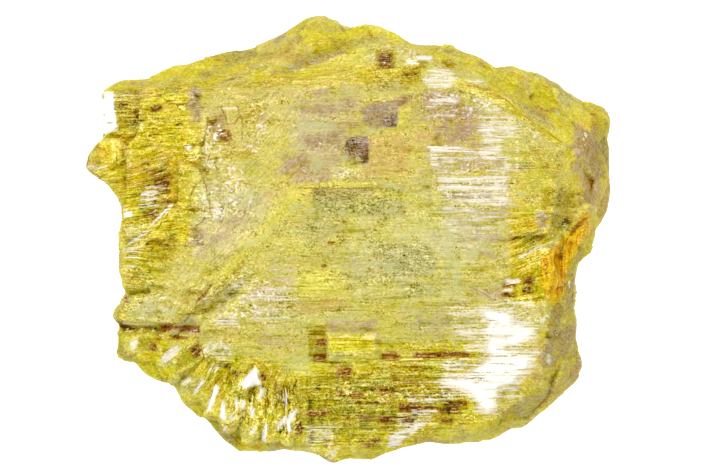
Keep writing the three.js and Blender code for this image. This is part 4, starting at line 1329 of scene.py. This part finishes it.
LEMON_YELLOW = colour(212, 201, 98)
LEMON_BRIGHT = colour(222, 208, 84)
HAZE_PALE = colour(216, 206, 156)
LEMON_DEEP = colour(208, 190, 4)
STRAW = colour(202, 192, 124)
POWDER = colour(190, 190, 134)
TAN_PINK = colour(204, 168, 92)
GOLD = colour(180, 158, 6)
OLIVE_GOLD = colour(146, 126, 8)
OLIVE_GREY = colour(158, 149, 90)
WARM_GOLD = colour(208, 174, 44)
BROWN_RED = colour(128, 68, 0)
BROWN_GOLD = colour(142, 100, 8)
ORANGE_RED = colour(204, 138, 0)
ORANGE_GOLD = colour(244, 202, 0)
TARNISH = colour(132, 110, 108)
TARNISH_PINK = colour(176, 149, 108)
EARTH = colour(218, 202, 50)
EARTH_PALE = colour(212, 198, 92)
EARTH_TAN = colour(192, 162, 78)
EARTH_GREY = colour(168, 154, 92)
HIGHLIGHT_WHITE = colour(254, 254, 248)
HIGHLIGHT_CREAM = colour(238, 231, 216)
HIGHLIGHT_GOLD = colour(250, 240, 140)
ONE_STEP_LIGHTER = (0.0065, 0.0062, 0.0026, 1.0)
ONE_STEP_GREYER = (0.0062, 0.0058, 0.0052, 1.0)
ONE_STEP_REDDER = (0.0065, -0.006, 0.0)
print("lemon yellow as light:", [round(c, 2) for c in LEMON_YELLOW])

# %% [markdown]
# ## Noises without a direction
#
# Grain, specks, mottles, clouds and blotches are the same noise in growing sizes, each somewhat wider
# than it is high. They decide where a patch is eaten away and where its colour changes, and the tint is
# for the hue alone. A slow drift is added to the place first, so that no long edge stays straight.

# %% Grain, specks, mottles, clouds and blotches
DRIFT = (0.0016, 0.0003, 0.0006)
wander = {"Vector": f.stretched((2.4, 2.4, 2.4)), "Scale": 1.0, "Detail": 2.0}
drift = f.node("ShaderNodeTexNoise", {}, wander, "Color")
drift = f.vector("MULTIPLY", f.vector("SUBTRACT", drift, (0.5, 0.5, 0.5)), DRIFT)
f.place = f.vector("ADD", f.place, drift)
grain = f.noise((0.27, 0.23, 0.25), 2, 0.7, (8, 1, 2))
speck = f.noise((0.42, 0.34, 0.4), 1, 0.5, (2, 7, 4))
mottle = f.noise((1.7, 1.25, 1.5), 4, 0.7, (4, 4, 4))
blotch = f.noise((6, 4, 5), 3, 0.55, (2, 9, 3))
cloud = f.noise((3.2, 1.8, 2.4), 3, 0.6, (7, 3, 5))
tint = f.noise((3.0, 1.7, 2.4), 3, 0.5, (1, 8, 3))
f.tell("noises")

# %% [markdown]
# ## The way the striations run
#
# The striations run along x, but on the left they are bent, on the lower left they spread from one point
# like a fan, and on the fold they slant. Turning the place itself, before any striped noise reads it,
# bends all stripes at once. Between two regions it switches along a ragged line, as where two bundles of
# sheets meet.

# %% Straight, bent, spread and slanted
FAN_TAIL = (-0.008, -0.0021, 0.0)
FAN_ARC = 0.024
FOLD_TURN = math.radians(-48)


def switched(name, outside, inside):
    """One place outside a region and another inside it, with a ragged border."""
    share = (f.mark(name) * 3 - 1.5 + mottle).step(-0.02, 0.02)
    return f.node("ShaderNodeMix", {"data_type": "VECTOR"}, {0: share, 4: outside, 5: inside}, 1)


across = f.node("ShaderNodeCombineXYZ", {}, (0.0, f.mark("bend") * 0.001, 0.0))
bent = f.vector("ADD", f.place, across)
spread = f.vector("MULTIPLY", f.vector("SUBTRACT", f.place, FAN_TAIL), (1.0, 1.0, 0.0))
turn = f.node("ShaderNodeMath", {"operation": "ARCTAN2"}, (f.part(spread, 1), f.part(spread, 0)))
reach = f.node("ShaderNodeVectorMath", {"operation": "LENGTH"}, (spread,), "Value")
spread = f.node("ShaderNodeCombineXYZ", {}, (reach, turn * FAN_ARC, f.part(f.place, 2)))
around = {"Vector": f.place, "Angle": FOLD_TURN}
slanted = f.node("ShaderNodeVectorRotate", {"rotation_type": "Z_AXIS"}, around)
f.place = switched("fold", switched("fan", bent, spread), slanted)
f.tell("directions")

# %% [markdown]
# ## Fibres of the vein
#
# The vein's fibres cross the striations. They run down, and lean to the right in its upper part, so the
# place is sheared there for this one noise and then put back.

# %% Fibres
VEIN_BEND = 0.00285
straight = f.place
slant = (f.part(straight, 1) + VEIN_BEND).max(0) * -0.65
f.place = f.vector("ADD", straight, f.node("ShaderNodeCombineXYZ", {}, (slant, 0.0, 0.0)))
fibres = f.noise((0.3, 2.6, 1.0), 3, 0.65)
f.place = straight
f.tell("fibres")

# %% [markdown]
# ## Noises along the striations
#
# Bands, streaks, lines and hairs are noises that are drawn out along x, each thinner than the one before,
# and dashes are short lines. Two mixtures of noises are used again and again: one for edges that are
# worn, and one for edges that are streaky.

# %% Striped noises
streak = f.noise((8, 0.5, 3), 3, 0.6)
line = f.noise((6.5, 0.26, 1), 2, 0.5, (5, 1, 2))
hair = f.noise((2.2, 0.15, 0.6), 2, 0.6, (3, 5, 1))
band = f.noise((26, 2.2, 8), 3, 0.5, (1, 2, 7))
dash = f.noise((0.9, 0.26, 0.6), 2, 0.6, (6, 2, 9))
worn = mottle * 0.7 + streak * 0.3 + dash * 0.35 + grain * 0.35
streaky = streak * 0.5 + line * 0.7 + hair * 0.3 + dash * 0.25
f.tell("striped noises")

# %% [markdown]
# ## Patches with ragged edges
#
# A stored mark is smooth. Adding a noise before it is cut gives it a ragged edge and holes, and the
# firmness says how much the mark counts against the noise. Thin lines are cut from the stored distances
# in the same way.

# %% Cutting the marks out
def patch(name, erosion=worn, firmness=3.2, soft=0.35):
    mark = f.mark(name)
    return ((mark - 0.5) * firmness + erosion).step(-soft, soft) * mark.step(0.02, 0.12)


def drawn(name, width):
    """A thin line along the stored distances, stronger in some places than in others."""
    side = (f.mark(name + "_side") + dash * 0.2 + mottle * 0.3).abs() + (grain + mottle) * 0.15
    line_here = (1 - side.step(width * 0.5, width * 1.5)) * (1 - f.mark(name + "_near").step(1.6, 3.0))
    return line_here * (mottle + blotch * 0.7).step(-0.9, 0.6)


cracks = drawn("crack", 0.7)
# gleams: painted highlights along the edges of blades
gleams = drawn("gleam", 0.8)
f.tell("cracks and gleams")

# %% [markdown]
# ## The yellow face
#
# The ground colour goes from soft lemon to straw, and to a deep lemon in the rich places. Over it lie
# faint tan, powder, olive grit and gold streaks, each picked out by its own mixture of noises, so that no
# two of them end in the same place. The olive grit is also laid where the shade mark is, as painted shade.

# %% The ground of the face
rich_mark = f.mark("rich")
rich = (rich_mark * 3 - 1.5 + worn * 0.6).above(0, 0.6)
shade = f.mark("shade")
lined = f.mark("lined")
veil = (blotch * 0.7 + mottle * 0.8 + streak * 0.2 - rich_mark).above(0.1, 0.9)
face = f.blend(veil * (rich * -0.4 + 0.8), f.blend(rich, LEMON_YELLOW, LEMON_DEEP), STRAW)
face = f.blend((mottle * 0.8 - blotch * 0.6 + band * 0.4).above(1.0, 0.6) * 0.4, face, TAN_PINK)
powdery = (mottle * 0.9 + cloud * 0.5 + grain * 0.15 - rich).above(0.75, 0.25)
face = f.blend(powdery * 0.45, face, POWDER)
# olive grit, and painted shade where the shade mark is
gritty_and_shaded = (cloud * 0.8 - mottle * 0.7 + dash * 0.2 + shade * 1.4 - rich * 0.5).above(0.7, 0.5)
face = f.blend(gritty_and_shaded * 0.5, face, OLIVE_GREY)
golden = (streak * 0.6 + band * 0.8 + mottle * 0.5 + rich_mark * 0.7).above(1.1, 0.5)
face = f.blend(golden * 0.5, face, GOLD)
face = f.blend((cloud + dash * 0.3).above(0.3, 0.8) * (rich * 0.4 + 0.25), face, WARM_GOLD)
face = f.blend((line * 0.8 + streak * 0.7 + dash * 0.3).above(0.6, 0.5) * lined * 0.45, face, GOLD)
f.tell("ground of the face")

# %% [markdown]
# ## Haze, tan, lemon and tarnish
#
# Now the marks are laid on the ground, from the thinnest veil to the grey cores of the oldest tarnish.
# Tarnish creeps in along the striations, so its edges use the streaky mixture.

# %% Marks on the face
face = f.blend((f.mark("haze") * 1.3 + worn * 0.35 - 0.3).step(0, 1) * 0.8, face, HAZE_PALE)
face = f.blend(patch("tan", worn, 2.4, 0.7) * 0.75, face, TAN_PINK)
# lemon, and painted light where the lemon mark lies on facets that face the light
face = f.blend(patch("lemon", worn, 2.6, 0.6) * 0.85, face, f.blend(rich, LEMON_BRIGHT, LEMON_DEEP))
dusky = f.blend((f.mark("mauve") * 3 - 3.0 + worn * 0.6).above(0, 0.8), TARNISH_PINK, TARNISH)
tarnish = patch("mauve", streaky * 0.7 + mottle * 0.6 + grain * 0.3, 2.6, 0.7)
face = f.blend(tarnish * 0.92, face, dusky)
core = patch("core", worn * 0.6 + hair * 0.3, 4.0, 0.3)
face = f.blend(core * 0.95, face, f.blend((hair + grain).above(0.5, 1.0), TARNISH, TARNISH_PINK))
# painted shade: olive grey where the shade mark is
face = f.blend(patch("shade", worn + grain * 0.3, 2.6, 0.8) * 0.35, face, OLIVE_GREY)
f.tell("marks on the face")

# %% [markdown]
# ## The earthy sides
#
# A broken side is matte, and every chip has its own tone between yellow earth, tan and grey. The same
# marks are used as on the face, where they run over its edge, but without stripes, so the lemon mark
# paints lit facets lighter as painted light and the shade mark paints shade. One stored share then chooses
# between face and side.

# %% The broken sides
hue = f.mark("chip_hue")
side = f.blend((hue + blotch * 0.4 + cloud * 0.3).above(0.1, 0.6), EARTH, EARTH_PALE)
side = f.blend((hue * 0.8 - blotch * 0.6 + cloud * 0.3).above(0.6, 0.4) * 0.75, side, EARTH_TAN)
side = f.blend((blotch * 0.6 - hue + cloud * 0.3).above(0.8, 0.4) * 0.75, side, EARTH_GREY)
side = f.blend(patch("tan", worn, 2.6, 0.6) * 0.6, side, TAN_PINK)
# lemon earth, and painted light on side facets that face the light
side = f.blend(patch("lemon", worn, 2.8, 0.5) * 0.9, side, EARTH)
side = f.blend(patch("mauve", cloud * 0.7 + mottle * 0.5 + grain * 0.3, 2.6, 0.6) * 0.75, side, dusky)
side = f.blend((cloud + grain * 0.2).above(0.6, 0.6) * 0.3, side, WARM_GOLD)
# painted shade on the sides: earthy grey where the shade mark is
side = f.blend(patch("shade", worn, 2.6, 0.9) * 0.6, side, EARTH_GREY)
cleavage = (f.mark("cleavage") * 3 - 1.5 + worn * 0.8).above(0, 0.5)
body = f.blend(cleavage, side, face)
f.tell("sides")

# %% [markdown]
# ## What shows through
#
# Orange fibres, clear windows and brown bands lie inside the mineral, so they cover the ground of face
# and sides alike; a few amber and brown patches on the fold are painted shade. All colours are then
# dimmed a little, which leaves room for the light and dark to come.

# %% Fibres, windows and bands
DIMMED = 0.915
fibre_colour = f.blend(fibres.above(-0.2, 0.9), ORANGE_RED, ORANGE_GOLD)
body = f.blend(patch("orange", worn * 0.7, 3.0, 0.6), body, fibre_colour)
amber_share = patch("amber", mottle * 0.7 + line * 0.3 + dash * 0.4, 3.0, 0.6)
clear = f.blend((streak * 0.5 + dash * 0.5 + mottle * 0.7).above(0.3, 0.8), GOLD, OLIVE_GOLD)
body = f.blend(amber_share * 0.9, body, clear)
brown_share = patch("brown", line * 0.4 + dash * 0.5 + mottle * 0.4 + grain * 0.4, 3.2, 0.7)
body = f.blend(brown_share * 0.95, body, f.blend((hair + grain * 0.4).above(0, 0.8), BROWN_RED, BROWN_GOLD))
body = f.scaled(body, DIMMED)
f.tell("what shows through")

# %% [markdown]
# ## Fine light and dark
#
# Fine detail on the real face is mostly light and dark of the same hue. So one number, the tone, is
# summed up from nearly all noises and added to the colour in small steps. The weights are numbers of such
# steps. They are higher where sheets are rich, lined or crumpled, and hollows come out darker than
# ridges, as painted shade.

# %% Tone
plain_tone = grain * 12 + speck * 8 + mottle * 8 + blotch * 3 + dash * 4 + f.mark("chip_light") * 9
strong = rich + amber_share * 0.5
# the sparkle mark: where sheets are crumpled, and where glitter is painted as glints
crumpled_glitter = f.mark("sparkle")
face_tone = (
    grain * (strong * 6 + gritty_and_shaded * 14 - powdery * 5 + 12)
    + speck * (gritty_and_shaded * 6 + crumpled_glitter * 10 + 6)
    + dash * (strong * 10 + crumpled_glitter * 8 + 7)
    + hair * (strong * 4 + 4)
    + line * (strong * 10 + lined * 8 + 4)
    + streak * (strong * 7 + lined * 6 + 3)
    + mottle * (strong * 3 + crumpled_glitter * 10 + 7)
    + cloud * 8
)
tone = plain_tone + (face_tone - plain_tone) * cleavage
hollow = f.mark("hollow") * 4 - 2
# painted shade: hollows are darkened by up to 38 steps, and ridges lightened by up to 22
tone = tone - (hollow + grain * 0.3).above(0.8, 0.6) * 38 + (grain * 0.5 - hollow).above(0.9, 0.6) * 22
lighter = f.blend(tarnish.max(core), ONE_STEP_LIGHTER, ONE_STEP_GREYER)
body = f.vector("ADD", body, f.scaled(lighter, tone))
f.tell("tone")

# %% [markdown]
# ## Greener and warmer yellow
#
# The hue is steered apart from the tone: a cloudy tint everywhere, warmer on the right and in the upper
# middle, greener in the lower half. The last line keeps every colour just above black, since light can't
# be negative.

# %% Hue
DARKEST = (0.01, 0.005, 0.0)
redder = tint * (strong * 0.8 + 1.2) + f.mark("warm") * 1.8 - f.mark("green") * (2.3 - brown_share * 4)
body = f.vector("ADD", body, f.scaled(ONE_STEP_REDDER, redder))
body = f.vector("MAXIMUM", body, DARKEST)
f.tell("hue")

# %% [markdown]
# ## What lies on top
#
# Powder lies on every colour alike, and a crack cuts through all of them. So both are laid now, after the
# colours of the sheets and before anything that shines.

# %% Powder and cracks
body = f.blend(patch("pale", worn * 0.8, 2.6, 0.7) * 0.6, body, POWDER)
# dark lines: cracks, and painted shade along the lower edge of the fold
body = f.blend(cracks * 0.78, body, f.blend(rich, BROWN_GOLD, BROWN_RED))
f.tell("powder and cracks")

# %% [markdown]
# ## What shines, painted as highlights
#
# Pearly sheets, glints on single lines, gleaming blade edges and the glitter of crushed places all come
# out white: they are painted highlights in the colour. They are merged by taking the strongest of them,
# so that they don't add up to a white blot. Where the mineral is rich, a weak painted highlight is golden
# and a strong one white.

# %% Painted highlights: pearl, glints and glitter
pearl_mark = f.mark("pearl")
# painted pearly highlights, cut out of the pearl highlight mark
ruffle = streak * 0.25 + line * 0.8 + hair * 0.5 + dash * 0.2 + grain * 0.25
pearl = ((pearl_mark - 0.5) * 2.6 + ruffle).step(-1.1, 1.6) * pearl_mark.step(0.05, 0.3)
glints = (line * 0.5 + hair * 0.5 + dash * 0.6 + grain * 0.4 + rich * 0.3).above(2.0, 0.4) * cleavage
foil = f.part(f.cells((0.6, 0.4, 0.5), (0.2, 0.7, 0)), 0) * 4
flicker = foil * 0.8 + speck * 0.4 + grain * 0.4 + mottle * 0.4
sparkle = ((crumpled_glitter - 0.5) * 2.4 + flicker).step(0.3, 1.7) * crumpled_glitter.step(0.02, 0.2)
# all painted highlights together, laid white into the colour and broken by the dark lines
white = pearl.max(glints * 0.6).max(gleams * 0.85).max(sparkle * 0.9) * (1 - cracks * 0.8)
highlight_tint = f.blend(rich * (1 - pearl_mark.step(0.1, 0.5)), HIGHLIGHT_CREAM, HIGHLIGHT_GOLD)
pearly = f.blend((pearl_mark - 0.9).step(0, 0.2), highlight_tint, HIGHLIGHT_WHITE)
body = f.blend(white, body, pearly)
f.tell("what shines")

# %% [markdown]
# ## Gloss and fine relief
#
# The face is smoother than the sides, and smoothest where it is rich. What is too fine for the mesh goes
# into a bump: striations, fibres, grain and cracks. Two sets of cells also lean the surface itself, large
# flat ones for flakes and small ones for sugary grain, so that the face glints in points and not as one
# sheet.

# %% Roughness, bump and flakes
roughness = 0.66 - cleavage * (rich * 0.14 + 0.26) + 0.03 * grain
height = (
    cleavage * (streak * 0.02 + line * 0.012 + hair * 0.006 + dash * 0.006)
    + (1 - cleavage) * (mottle * 0.05 + grain * 0.016)
    + fibres * 0.02 * f.mark("orange")
    + grain * 0.003
    - cracks * 0.03
)
flakes = f.cells((2.6, 0.8, 1.5), (0.3, 0.6, 0), "CHEBYCHEV")
flakes = f.scaled(flakes, cleavage * (rich * 0.4 + 0.12) * (1 - pearl * 0.7))
sugar = f.scaled(f.cells((0.7, 0.5, 0.6)), 0.18)
normal = f.node("ShaderNodeNewGeometry", output="Normal")
normal = f.vector("NORMALIZE", f.vector("ADD", f.vector("ADD", normal, flakes), sugar))
surface = {"Strength": 1.0, "Distance": 0.001, "Height": height, "Normal": normal}
bump = f.node("ShaderNodeBump", {}, surface)
f.tell("gloss and relief")

# %% [markdown]
# ## Onto the specimen
#
# Colour, roughness and normal go to the shader. Real orpiment bends light far more than this finish does,
# but in such even light a strong glare would bleach the yellow, so the glare is kept weak and tinted. The
# finished skin then takes the solid's place.

# %% Dress the specimen
for value, socket in ((body, "Base Color"), (roughness, "Roughness"), (bump, "Normal")):
    f.tree.links.new(value.socket, f.shader.inputs[socket])
f.shader.inputs["IOR"].default_value = 1.47
f.shader.inputs["Specular Tint"].default_value = (1.0, 0.92, 0.15, 1.0)
skin.data.materials.clear()
skin.data.materials.append(f.material)
skin.data.shade_smooth()
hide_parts("orpiment")
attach(skin, "root")
f.tell("the whole finish")

# %% [markdown]
# ## The floor
#
# The specimen is shown from straight above on a white floor. The floor sends out light of its own, so
# that it stays white while the specimen is lit softly.

# %% Floor
FLOOR_HALF = 1.5
bm = bmesh.new()
bmesh.ops.create_grid(bm, x_segments=1, y_segments=1, size=FLOOR_HALF)
floor_mesh = bpy.data.meshes.new("floor")
bm.to_mesh(floor_mesh)
bm.free()
floor = bpy.data.objects.new("floor", floor_mesh)
bpy.context.scene.collection.objects.link(floor)
paper = Finish("white_paper")
paper.shader.inputs["Base Color"].default_value = (0.6, 0.6, 0.6, 1)
paper.shader.inputs["Roughness"].default_value = 0.9
paper.shader.inputs["Emission Color"].default_value = (1, 1, 1, 1)
paper.shader.inputs["Emission Strength"].default_value = 0.7
floor.data.materials.append(paper.material)
print("floor:", 2 * FLOOR_HALF, "m wide")

# %% [markdown]
# ## Soft light
#
# Wide lights stand all around the specimen, tilted far enough that the flat face mirrors none of them.
# Only flakes and blades that lean send one back as a white glint, as the real mineral does. Three small
# lamps make those glints crisp. The strengths are in watts.

# %% Lights
def softbox(name, place, size, power, aim=(0, 0, 0.02)):
    data = bpy.data.lights.new(name, "AREA")
    data.shape, data.size, data.size_y, data.energy = "RECTANGLE", size[0], size[1], power
    made = bpy.data.objects.new(name, data)
    made.location = place
    made.rotation_euler = (Vector(aim) - Vector(place)).to_track_quat("-Z", "Y").to_euler()
    bpy.context.scene.collection.objects.link(made)


softbox("light_upper_left", (-0.38, 0.34, 0.52), (0.45, 0.45), 2.7)
softbox("light_upper_right", (0.45, 0.28, 0.48), (0.4, 0.4), 1.75)
softbox("light_lower", (0.1, -0.5, 0.48), (0.8, 0.3), 1.58)
softbox("light_lower_left", (-0.5, -0.3, 0.45), (0.4, 0.4), 0.74)
softbox("light_upper_edge", (0.05, 0.40, 0.6), (0.7, 0.1), 0.56)
softbox("lamp_left", (-0.30, 0.22, 0.56), (0.09, 0.09), 0.42)
softbox("lamp_right", (0.26, 0.26, 0.56), (0.09, 0.09), 0.33)
softbox("lamp_lower", (0.06, -0.34, 0.55), (0.09, 0.09), 0.33)
print("lights:", len(bpy.data.lights))

# %% [markdown]
# ## Light from the room
#
# A faint even light from all around lifts the darkest corners, as white walls do. The plain view
# transform keeps the colours as they were given.

# %% Room light
world = bpy.data.worlds.new("studio")
world.use_nodes = True
background = world.node_tree.nodes["Background"]
background.inputs["Color"].default_value = (1, 1, 1, 1)
background.inputs["Strength"].default_value = 0.15
bpy.context.scene.world = world
bpy.context.scene.view_settings.view_transform = "Standard"
print("room light:", round(background.inputs["Strength"].default_value, 2))

# %% [markdown]
# ## The camera
#
# A long lens from straight above shows the near parts hardly larger than the far ones. Its distance
# follows from the width that the picture takes in at the height where the specimen is widest. It stands
# about half a step of the plan to the right, because the plan's middle lies that far to the left of the
# picture's.

# %% Camera
WIDEST_HEIGHT = 0.024
LENS = 100
SENSOR = 36
PLAN_WIDTH = 708
SIDE_SHIFT = 0.00007
frame_width = PLAN_WIDTH * PLAN_STEP / 1000
lens_distance = frame_width * LENS / SENSOR
eye = bpy.data.cameras.new("camera")
eye.lens = LENS
camera = bpy.data.objects.new("camera", eye)
camera.location = (SIDE_SHIFT, 0.0, WIDEST_HEIGHT + lens_distance)
bpy.context.scene.collection.objects.link(camera)
bpy.context.scene.camera = camera
print("camera", round(lens_distance * 1000), "mm above the widest part")

# %% [markdown]
